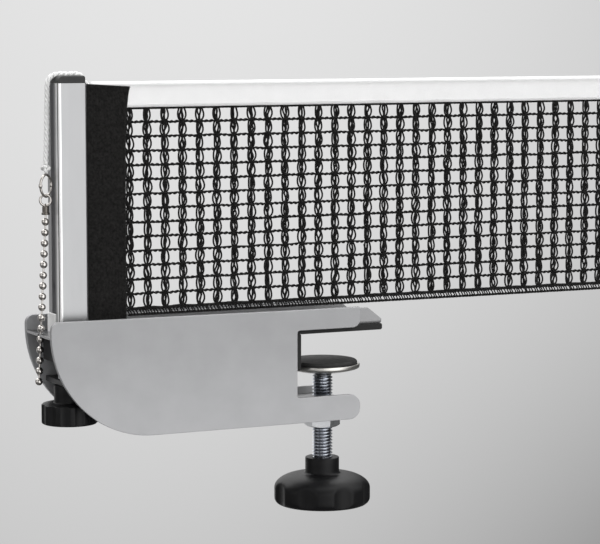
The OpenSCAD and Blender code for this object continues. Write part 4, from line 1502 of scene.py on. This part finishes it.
    def ladder(self, low: Vector, high: Vector) -> bpy.types.Object:
        """Sets the slanted stitches between the braid's two ropes.

        Args:
            low: the braid's lowest corner.
            high: the braid's highest corner.

        Returns:
            The stitches as one mesh.
        """
        p = Pattern("ladder_stitches", Count=int((high.x - low.x) / self.stitch_gap), Threads=1,
                    Spacing=self.stitch_gap, Slant=self.stitch_slant,
                    Rise=high.z - low.z - 2 * self.rope_inset,
                    Thread_Radius=self.stitch_radius,
                    First=(low.x, 0.0, low.z + self.rope_inset))
        g, ins = p.graph, p.ins
        threads = p.threads(g.vector(ins["Spacing"]), g.vector(z=ins["Rise"]), 5)
        along = g.out("GeometryNodeSplineParameter", pick="Factor")
        stray = p.stray(self.stitch_stray, p.read("row") * 2, 31)
        bulge = (along * math.pi).sine() * (-0.35 * MM) - 0.3 * MM
        offset = g.vector(ins["Slant"] * (0.5 - along) + stray, bulge)
        p.close(p.skinned(p.moved(threads, offset), 4), self.bench.material(Finishes.NET))
        return p.bake("bottom_braid_stitches")

    def seams(self, name: str, place: Vector, along: Vector, count: int, finish: Finishes,
              radius: float = 0.16 * MM) -> list[bpy.types.Object]:
        """Sews the same line of stitches on a cloth's front and on its back.

        Args:
            name: what both seams are called.
            place: middle of the first stitch on the back.
            along: step from one stitch to the next.
            count: number of stitches.
            finish: the thread's finish.
            radius: the thread's radius.

        Returns:
            The two seams.
        """
        sewn = []
        for side, y in (("front", -place.y), ("back", place.y)):
            first = Vector((place.x, y, place.z)) - along * (self.seam_share / 2)
            p = Pattern(f"{name}_{side}", Count=count, Threads=1, First=tuple(first),
                        Step=tuple(along), Run=tuple(along * self.seam_share),
                        Thread_Radius=radius)
            threads = p.threads(p.ins["Step"], p.ins["Run"], 4)
            p.close(p.skinned(threads, 6), self.bench.material(finish))
            sewn.append(self.bench.seat(p.bake(f"{name}_{side}"), finish, body="post_unit"))
        return sewn

    def folded(self, node: str, finish: Finishes, section: Points, length: float, pieces: int,
               place: Callable) -> tuple[bpy.types.Object, float]:
        """Folds a cloth and seats it for its node.

        Args:
            node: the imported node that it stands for.
            finish: its finish.
            section: points across the cloth.
            length: its length.
            pieces: how many pieces it has along its length.
            place: as in ribbon().

        Returns:
            The cloth and the width that it is cut to.
        """
        made = ribbon(f"{node}_folded", section, np.linspace(0.0, length, pieces + 1), place,
                      self.cloth)
        cut = float(distances(section)[-1])
        log.info("%s is cut %.1f by %.1f mm", node, cut / MM, length / MM)
        return self.bench.seat(made, finish, node), cut

    def tape(self) -> None:
        """Folds the white tape over the cord that runs in its top edge."""
        low, high, _ = sizes("top_tape")
        bulge = (high.y - low.y) / 2 - self.cloth / 2
        core = high.z - bulge - self.cloth / 2
        half = self.tape_half
        arc = [math.radians(a) for a in range(-128, 129, 16)]
        section = [(-half, z) for z in np.linspace(low.z, core - bulge - 1.2 * MM, 7)]
        section += [(math.sin(a) * bulge, core + math.cos(a) * bulge) for a in arc]
        section += [(half, z) for z in np.linspace(core - bulge - 1.2 * MM, low.z, 7)]
        length = high.x - low.x
        drift = random.Random(self.seed)
        waves = [(drift.uniform(20, 75) * MM, drift.uniform(0, math.tau), drift.uniform(0.1, 0.3))
                 for _ in range(5)]

        def place(p: Sequence[float], v: float) -> tuple[float, float, float]:
            """Lays a point of the tape, with its slight waves below the cord."""
            free = min(max((core - p[1]) / (core - low.z), 0.0), 1.0)
            wave = sum(a * math.sin(math.tau * v / w + s) for w, s, a in waves)
            return low.x + v, p[0] + 0.45 * MM * wave * free, p[1] + 0.06 * MM * wave

        made, cut = self.folded("top_tape", Finishes.TAPE, section, length, 180, place)
        start = Vector((low.x + 28 * MM, half + self.cloth / 2, low.z + 1.8 * MM))
        sewn = self.seams("tape_seam", start, Vector((self.tape_seam, 0, 0)),
                          int((length - 30 * MM) / self.tape_seam), Finishes.TAPE)

    def band(self) -> None:
        """Folds the black band round the rod and over the end of the net."""
        low, high, _ = sizes("side_band")
        hem_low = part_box("end_hem")[0].z
        rod_low, rod_high, rod = sizes("band_rod")
        tape_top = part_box("top_tape")[1].z
        half = min((high.y - low.y) / 2, 2.0 * MM) - self.cloth / 2
        throat = self.band_throat
        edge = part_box("post")[1].x + 1.3 * MM
        turn = (rod_high.x - rod_low.x) / 2 + self.cloth / 2 + 0.06 * MM
        start = math.asin(throat / turn)
        loop = [(rod.x + turn * math.cos(a), -turn * math.sin(a))
                for a in np.linspace(start, math.tau - start, 22)]
        front = [(x, -half) for x in np.linspace(high.x, edge + 2.2 * MM, 16)]
        front += [(edge + 1.0 * MM, -half * 0.86), (edge + 0.2 * MM, -half * 0.5),
                  (edge - 0.4 * MM, -throat), (edge - 1.4 * MM, -throat)]
        front += [(x, -throat) for x in np.linspace(edge - 2 * MM, loop[0][0] + 0.3 * MM, 4)]
        section = front + loop + [(x, -y) for x, y in reversed(front)]
        drift = random.Random(self.seed + 1)
        folds = [(drift.uniform(7, 20) * MM, drift.uniform(0, math.tau),
                  drift.uniform(0.3, 1.0), drift.uniform(-0.25, 0.25)) for _ in range(7)]
        height = high.z - hem_low

        def place(p: Sequence[float], v: float) -> tuple[float, float, float]:
            """Lays a point of the band, with wrinkles where it is clear of the post."""
            free = min(max((p[0] - edge - 1 * MM) / (6 * MM), 0.0), 1.0)
            out = max(0.0, (p[0] - edge) / (high.x - edge))
            top = min(rod_high.z, high.z) if p[0] < edge else high.z - self.band_fall * out
            z = hem_low + (top - hem_low) * v / height
            wave = sum(a * math.sin(math.tau * (z + k * (p[0] - edge)) / w + s)
                       for w, s, a, k in folds) / len(folds)
            cord = math.exp(-((z - tape_top + 1.7 * MM) / (1.6 * MM)) ** 2)
            side = math.copysign(1.0, p[1]) if abs(p[1]) > throat * 1.5 else 0.0
            lean = (3.1 * MM * math.exp((v - height) / (14 * MM)) - 1.8 * MM) * out
            return (p[0] + free * lean,
                    p[1] + free * side * (0.5 * MM * wave + 0.4 * MM * cord), z)

        made, cut = self.folded("side_band", Finishes.TWILL, section, height, 140, place)
        start = Vector((high.x - 2.6 * MM, half + self.cloth / 2, hem_low + 3 * MM))
        sewn = self.seams("band_seam", start, Vector((0, 0, self.band_seam)),
                          int((height - 9 * MM) / self.band_seam), Finishes.NET, 0.2 * MM)

    def hem(self) -> None:
        """Binds the far end of this stretch of net with a folded strip."""
        low, high, _ = sizes("end_hem")
        half = (high.y - low.y) / 2 - self.cloth / 2
        reach = high.x - low.x
        bend = [math.radians(a) for a in range(-75, 76, 15)]
        turn = high.x - half - self.cloth / 2
        section = [(x, -half) for x in np.linspace(low.x, turn, 6)]
        section += [(turn + half * math.cos(a), half * math.sin(a)) for a in bend]
        section += [(x, half) for x in np.linspace(turn, low.x, 6)]
        height = high.z - low.z

        def place(p: Sequence[float], v: float) -> tuple[float, float, float]:
            """Lays a point of the hem, a little uneven along its length."""
            free = max(0.0, (turn - p[0]) / reach)
            sway = 0.12 * MM * math.sin(v / (9 * MM)) * free
            return p[0], p[1] * (1 - 0.12 * free) + sway, low.z + v

        made, cut = self.folded("end_hem", Finishes.TWILL, section, height, 70, place)

    def build(self) -> None:
        """Builds the net and everything sewn to it."""
        self.bench.seat(self.columns(), Finishes.NET, "net_mesh")
        self.bench.seat(self.cross_threads(), Finishes.NET, body="post_unit")
        self.bench.seat(self.wraps(), Finishes.NET, body="post_unit")
        self.bench.seat(self.braid(), Finishes.NET, "bottom_braid")
        self.tape()
        self.band()
        self.hem()


def hoop(middle: Vector, out: np.ndarray, rise: np.ndarray, turned: float) -> np.ndarray:
    """Points of an upright loop.

    Args:
        middle: its middle.
        out: how far each point is out from the upright line through the middle.
        rise: how far each point is above the middle.
        turned: the loop's turn round that line, in degrees.

    Returns:
        The points, one a row.
    """
    turn = math.radians(turned)
    return np.stack([middle.x + out * math.cos(turn), out * math.sin(turn), middle.z + rise], 1)


@dataclass
class CordAndChain:
    """The twisted cord over the cap, its knot and hook, and the bead chain."""

    bench: Bench
    diameter: float = 3.2 * MM
    lay: float = 9.5 * MM
    bead_pitch: float = 6.2 * MM
    bead_radius: float = 2.25 * MM
    bead_mouth: float = 0.8 * MM
    bead_wall: float = 0.35 * MM
    wire: float = 0.5 * MM
    post_x: float = -165.1 * MM
    route: tuple[tuple[float, float], ...] = (
        (13.9, 150.9), (12.9, 150.9), (11.9, 151.4), (11, 152.6), (10.2, 154.2), (9.2, 155.7),
        (7.8, 156.7), (6, 157.1), (0, 157.1), (-5.6, 157.1), (-8, 156.6), (-10, 155.3),
        (-11.3, 153.3), (-11.8, 150.9), (-12, 145), (-12.4, 130), (-12.8, 115), (-13.2, 107),
        (-13.2, 105.5))

    def centreline(self, step: float = 0.5 * MM) -> np.ndarray:
        """The cord's route as a smooth line of evenly spaced points, in metres."""
        marks = np.array([(self.post_x + x * MM, 0.0, z * MM) for x, z in self.route])
        run = distances(marks)
        slope = np.gradient(marks, run, axis=0)
        fine = np.linspace(0.0, run[-1], int(run[-1] / step) + 1)
        cell = np.clip(np.searchsorted(run, fine, side="right") - 1, 0, len(run) - 2)
        width = run[cell + 1] - run[cell]
        t = ((fine - run[cell]) / width)[:, None]
        width = width[:, None]
        return ((2 * t ** 3 - 3 * t ** 2 + 1) * marks[cell]
                + (t ** 3 - 2 * t ** 2 + t) * width * slope[cell]
                + (-2 * t ** 3 + 3 * t ** 2) * marks[cell + 1]
                + (t ** 3 - t ** 2) * width * slope[cell + 1])

    def strands(self, line: np.ndarray) -> bpy.types.Object:
        """Lays three strands round the cord's line."""
        side, up = frames(line)
        run = distances(line)
        thick = self.diameter / 2 / (1 + 2 / math.sqrt(3)) * 1.06
        off = self.diameter / 2 - thick
        parts = []
        for k in range(3):
            turn = (run / self.lay + k / 3)[:, None] * -math.tau
            path = line + off * (np.cos(turn) * side + np.sin(turn) * up)
            parts.append(tube(f"cord_strand_{k}", path, thick, 12))
        return join("tension_cord_laid", parts)

    def knot(self) -> bpy.types.Object:
        """Ties the cord's end in a small hard knot above the hook."""
        low, high, mid = sizes("cord_knot")
        marks = np.linspace(0.0, math.tau, 90, endpoint=False)
        loop = np.stack([np.sin(marks) + 2 * np.sin(2 * marks), -1.25 * np.sin(3 * marks),
                         np.cos(marks) - 2 * np.cos(2 * marks)], 1)
        thick = 0.95 * MM
        scale = (np.array(high - low) / 2 - thick) / np.abs(loop).max(0)
        return tube("cord_knot_tied", np.array(mid) + loop * scale, thick, 12, closed=True)

    def link(self) -> bpy.types.Object:
        """Bends the pointed oval link, with the two small sleeves that close it."""
        low, high, mid = sizes("cord_hook")
        thick = 0.75 * MM
        reach, rise = 5.2 * MM - thick, (high.z - low.z) / 2 - thick
        marks = np.linspace(0.0, math.tau, 72, endpoint=False)
        out = reach * np.sign(np.cos(marks)) * np.abs(np.cos(marks)) ** 1.25
        swell = np.where(np.abs(np.sin(marks)) < 0.16, 1.1 * MM, thick)
        return tube("cord_hook_bent", hoop(mid, out, rise * np.sin(marks), 25), swell, 14,
                    closed=True)

    def round_hoop(self, name: str, middle: Vector, reach: float, thick: float, turned: float,
                   marks: int, sides: int) -> bpy.types.Object:
        """Bends a round loop of wire.

        Args:
            name: the object's name.
            middle: the loop's middle.
            reach: radius of the loop.
            thick: radius of the wire.
            turned: as in hoop().
            marks: points round the loop.
            sides: corners of the wire's section.

        Returns:
            The loop.
        """
        angles = np.linspace(0.0, math.tau, marks, endpoint=False)
        path = hoop(middle, reach * np.cos(angles), reach * np.sin(angles), turned)
        return tube(name, path, thick, sides, closed=True)

    def ring(self) -> bpy.types.Object:
        """Bends the round ring at the head of the chain."""
        low, high, mid = sizes("chain_ring")
        thick = 0.72 * MM
        return self.round_hoop("chain_ring_bent", mid, (high.z - low.z) / 2 - thick, thick, -20,
                               64, 14)

    def coupling(self) -> bpy.types.Object:
        """Turns the coupling that holds the chain's first bead, with its eye."""
        low, high, mid = sizes("chain_coupling")
        eye_radius, eye_wire = 1.1 * MM, 0.42 * MM
        top = high.z - eye_radius - eye_wire
        wide = (high.x - low.x) / 2
        slim = wide - 0.45 * MM
        outline = [(0.0, low.z), (wide, low.z), (wide, low.z + 1.2 * MM),
                   (slim, low.z + 1.3 * MM), (slim, top - 1.5 * MM), (slim, top - 0.3 * MM),
                   (slim - 0.5 * MM, top), (0.0, top)]
        cup = lathe("coupling_cup", outline, 40, (mid.x, mid.y), 0.25 * MM)
        eye = self.round_hoop("coupling_eye", Vector((mid.x, 0.0, top)), eye_radius, eye_wire,
                              70, 40, 12)
        return join("chain_coupling_turned", [cup, eye])

    def beads(self, name: str, first: Vector, step: Vector, count: int,
              end: Vector) -> bpy.types.Object:
        """Threads hollow beads on a wire.

        Args:
            name: the object's name.
            first: middle of the first bead.
            step: from one bead to the next.
            count: number of beads.
            end: where the wire ends, past the last bead.

        Returns:
            The chain as one mesh.
        """
        start = math.asin(self.bead_mouth / self.bead_radius)
        arc = [(self.bead_radius * math.sin(a), -self.bead_radius * math.cos(a))
               for a in np.linspace(start, math.pi - start, 13)]
        edge, lip = arc[0][1], self.bead_mouth - 0.12 * MM
        inner = [(lip, -edge - self.bead_wall), (lip, edge + self.bead_wall)]
        bead = smooth(rings("bead_turned", arc + inner, 20, closed=True), 50)
        p = Pattern(f"{name}_beads", Count=count, First=tuple(first), Step=tuple(step))
        p.close(p.set_out(p.line(p.ins["Count"], p.ins["Step"]), bead, {}),
                self.bench.material(Finishes.CHROME))
        made = p.bake(name)
        bpy.data.objects.remove(bead)
        return join(name, [made, tube(f"{name}_wire", [first, end], self.wire, 10)])

    def build(self) -> None:
        """Builds the cord first, then what hangs from it."""
        line = self.centreline()
        cord = self.bench.seat(self.strands(line), Finishes.CORD, "tension_cord")
        knot = self.bench.seat(self.knot(), Finishes.CORD, "cord_knot")
        hook = self.bench.seat(self.link(), Finishes.CHROME, "cord_hook")
        tuple(line[0])
        self.bench.seat(self.ring(), Finishes.CHROME, "chain_ring")
        self.bench.seat(self.coupling(), Finishes.COUPLING, "chain_coupling")
        inset = Vector((self.bead_radius, 0.0, self.bead_radius))
        low, tail_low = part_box("bead_chain")[0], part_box("chain_tail")[0]
        caught = Vector((low.x, 0.0, low.z)) + inset
        head_low, _, head = sizes("chain_coupling")
        top = Vector((head.x, 0.0, head_low.z))
        lean = (top - caught) / (top.z - caught.z)
        count = int((top.z - 1 * MM - self.bead_radius - caught.z) / self.bead_pitch) + 1
        chain = self.beads("bead_chain_threaded", caught, lean * self.bead_pitch, count,
                           top + lean * 0.3 * MM)
        self.bench.seat(chain, Finishes.CHROME, "bead_chain")
        bottom = Vector((tail_low.x, 0.0, tail_low.z)) + inset
        down = bottom - caught
        below = int(round(down.length / self.bead_pitch))
        tail = self.beads("chain_tail_threaded", bottom, -down / below, below,
                          caught + down.normalized() * (self.bead_radius + 0.3 * MM))
        self.bench.seat(tail, Finishes.CHROME, "chain_tail")


# -------------------------------------------------------------------------------- studio


@dataclass(frozen=True)
class SoftBox:
    """A soft patch of light in the room: where it stands and how wide and strong it is."""

    azimuth: float
    height: float
    inner: float
    outer: float
    strength: float

    def aim(self) -> Vector:
        """Direction towards the middle of the patch."""
        a, h = math.radians(self.azimuth), math.radians(self.height)
        return Vector((math.cos(a) * math.cos(h), math.sin(a) * math.cos(h), math.sin(h)))


@dataclass
class Studio:
    """Camera, pale floor that sweeps up to a wall and glows with painted light, and a room of
    soft light.
    """

    lens: float = 144.933
    sensor: float = 36.0
    azimuth: float = 25.928
    pitch: float = 5.957
    eye: tuple[float, float, float] = (-0.65522, -1.31650, 0.18822)
    floor_z: float = -1.2
    floor_radius: float = 3.0
    cove: float = 1.0
    wall_top: float = 0.6
    # Painted light: the wall's palest level, at the upper left.
    painted_light_peak: float = 0.762
    paper_plain: float = 0.68
    ambient: float = 0.06
    bounce: float = 0.16
    boxes: tuple[SoftBox, ...] = (SoftBox(-78, 6, 20, 44, 1.95), SoftBox(-30, 50, 20, 42, 1.6),
                                  SoftBox(119, 42, 10, 24, 1.8), SoftBox(60, 82, 20, 50, 1.5),
                                  SoftBox(188, 18, 14, 40, 1.1), SoftBox(-128, -4, 5, 14, 1.2),
                                  SoftBox(116, -6, 6, 24, 0.35), SoftBox(64, 56, 10, 22, 1.8),
                                  SoftBox(80, 42, 18, 40, 1.3), SoftBox(82, -10, 12, 30, 0.8))

    def camera(self) -> None:
        """Sets the camera."""
        data = bpy.data.cameras.new("camera")
        data.lens = self.lens
        data.sensor_width = self.sensor
        data.sensor_fit = "HORIZONTAL"
        data.clip_start, data.clip_end = 0.05, 60.0
        made = bpy.data.objects.new("camera", data)
        made.location = self.eye
        made.rotation_euler = (math.radians(90 - self.pitch), 0.0, math.radians(-self.azimuth))
        bpy.context.scene.collection.objects.link(made)
        bpy.context.scene.camera = made

    def tone(self, g: Graph, place: Value, reach: float) -> Value:
        """Painted light of the wall: on the wall ahead a painted pool of light, palest at the
        upper left and greyest at the lower right, and plain everywhere else.

        Args:
            g: the tree to build in.
            place: a point on the wall, or a direction.
            reach: distance of the wall that the point or direction is measured at.

        Returns:
            The tone, as seen.
        """
        turn = math.radians(self.azimuth)
        across = g.dot(place, (math.cos(turn), -math.sin(turn), 0.0))
        ahead = g.dot(place, (math.sin(turn), math.cos(turn), 0.0))
        u = g.spread(across, -0.17 * reach, 0.17 * reach)
        v = g.spread(g.axes(place)[2], 0.06 * reach, -0.235 * reach)
        square = u * u
        level = u * 0.122 + square * -0.228
        down = v * (v * 0.107 + 0.072)
        corner = square * v ** 3.0 * 0.163
        # Painted pool of light, falling off towards the lower right.
        shown = (level + self.painted_light_peak) - (down + corner)
        return g.mix(g.spread(ahead, 0.6 * reach, 0.85 * reach), shown, self.paper_plain)

    def backdrop(self) -> None:
        """Turns the floor, its cove and the round wall as one surface."""
        bend = [(self.floor_radius + self.cove * math.sin(a),
                 self.floor_z + self.cove * (1 - math.cos(a)))
                for a in np.linspace(0.0, math.pi / 2, 17)]
        outline = [(0.0, self.floor_z), (self.floor_radius / 2, self.floor_z), *bend,
                   (self.floor_radius + self.cove, self.wall_top)]
        made = smooth(rings("backdrop", outline, 96), 60)
        # The backdrop is not lit: its base is black and it glows with the painted light of the
        # wall.
        glowing_paper, g, shader = plain_material("backdrop_paper", {
            "Base Color": grey(0.0), "Roughness": 1.0, "Specular IOR Level": 0.0,
            "Emission Strength": 1.0})
        g.wire(shader, {"Emission Color": self.tone(g, g.here(), self.floor_radius + self.cove)})
        made.data.materials.append(glowing_paper)
        made.visible_glossy = made.visible_diffuse = made.visible_shadow = False

    def world(self) -> None:
        """Lights the room with soft patches; seen straight on, it carries on the wall's painted
        light.
        """
        made = bpy.data.worlds.new("room")
        made.use_nodes = True
        g = Graph(made.node_tree)
        toward = g.out("ShaderNodeTexCoord", pick="Generated")
        total = g.spread(g.axes(toward)[2], -0.5, 0.05, self.bounce, self.ambient)
        for box in self.boxes:
            outer, inner = (math.cos(math.radians(a)) for a in (box.outer, box.inner))
            facing = g.dot(toward, box.aim())
            total = total + g.spread(facing, outer, inner, 0.0, box.strength)
        straight = g.out("ShaderNodeLightPath", pick="Is Camera Ray")
        # Camera rays see the wall's painted light instead of the room's light.
        shown = g.mix(straight, self.tone(g, toward, 1.0), total)
        g.wire(made.node_tree.nodes["Background"], {"Color": shown, "Strength": 1.0})
        bpy.context.scene.world = made

    def build(self) -> None:
        """Sets up the wall, the light and how tones are shown."""
        self.backdrop()
        self.world()
        bpy.context.scene.view_settings.view_transform = "Standard"


def main() -> None:
    """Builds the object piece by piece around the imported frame."""
    logging.basicConfig(level=logging.INFO, format="%(name)s: %(message)s")
    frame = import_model()
    studio = Studio()
    studio.camera()
    bench = Bench(frame)
    assemblies = [CordAndChain(bench), ClampFrame(bench), ClampScrew(bench), Post(bench),
                  HeightAdjuster(bench), Net(bench)]
    for assembly in assemblies:
        log.info("building %s", type(assembly).__name__)
        assembly.build()
    studio.build()
    log.info("%d pieces set on their bodies", bench.count)


if __name__ == "__main__":
    main()
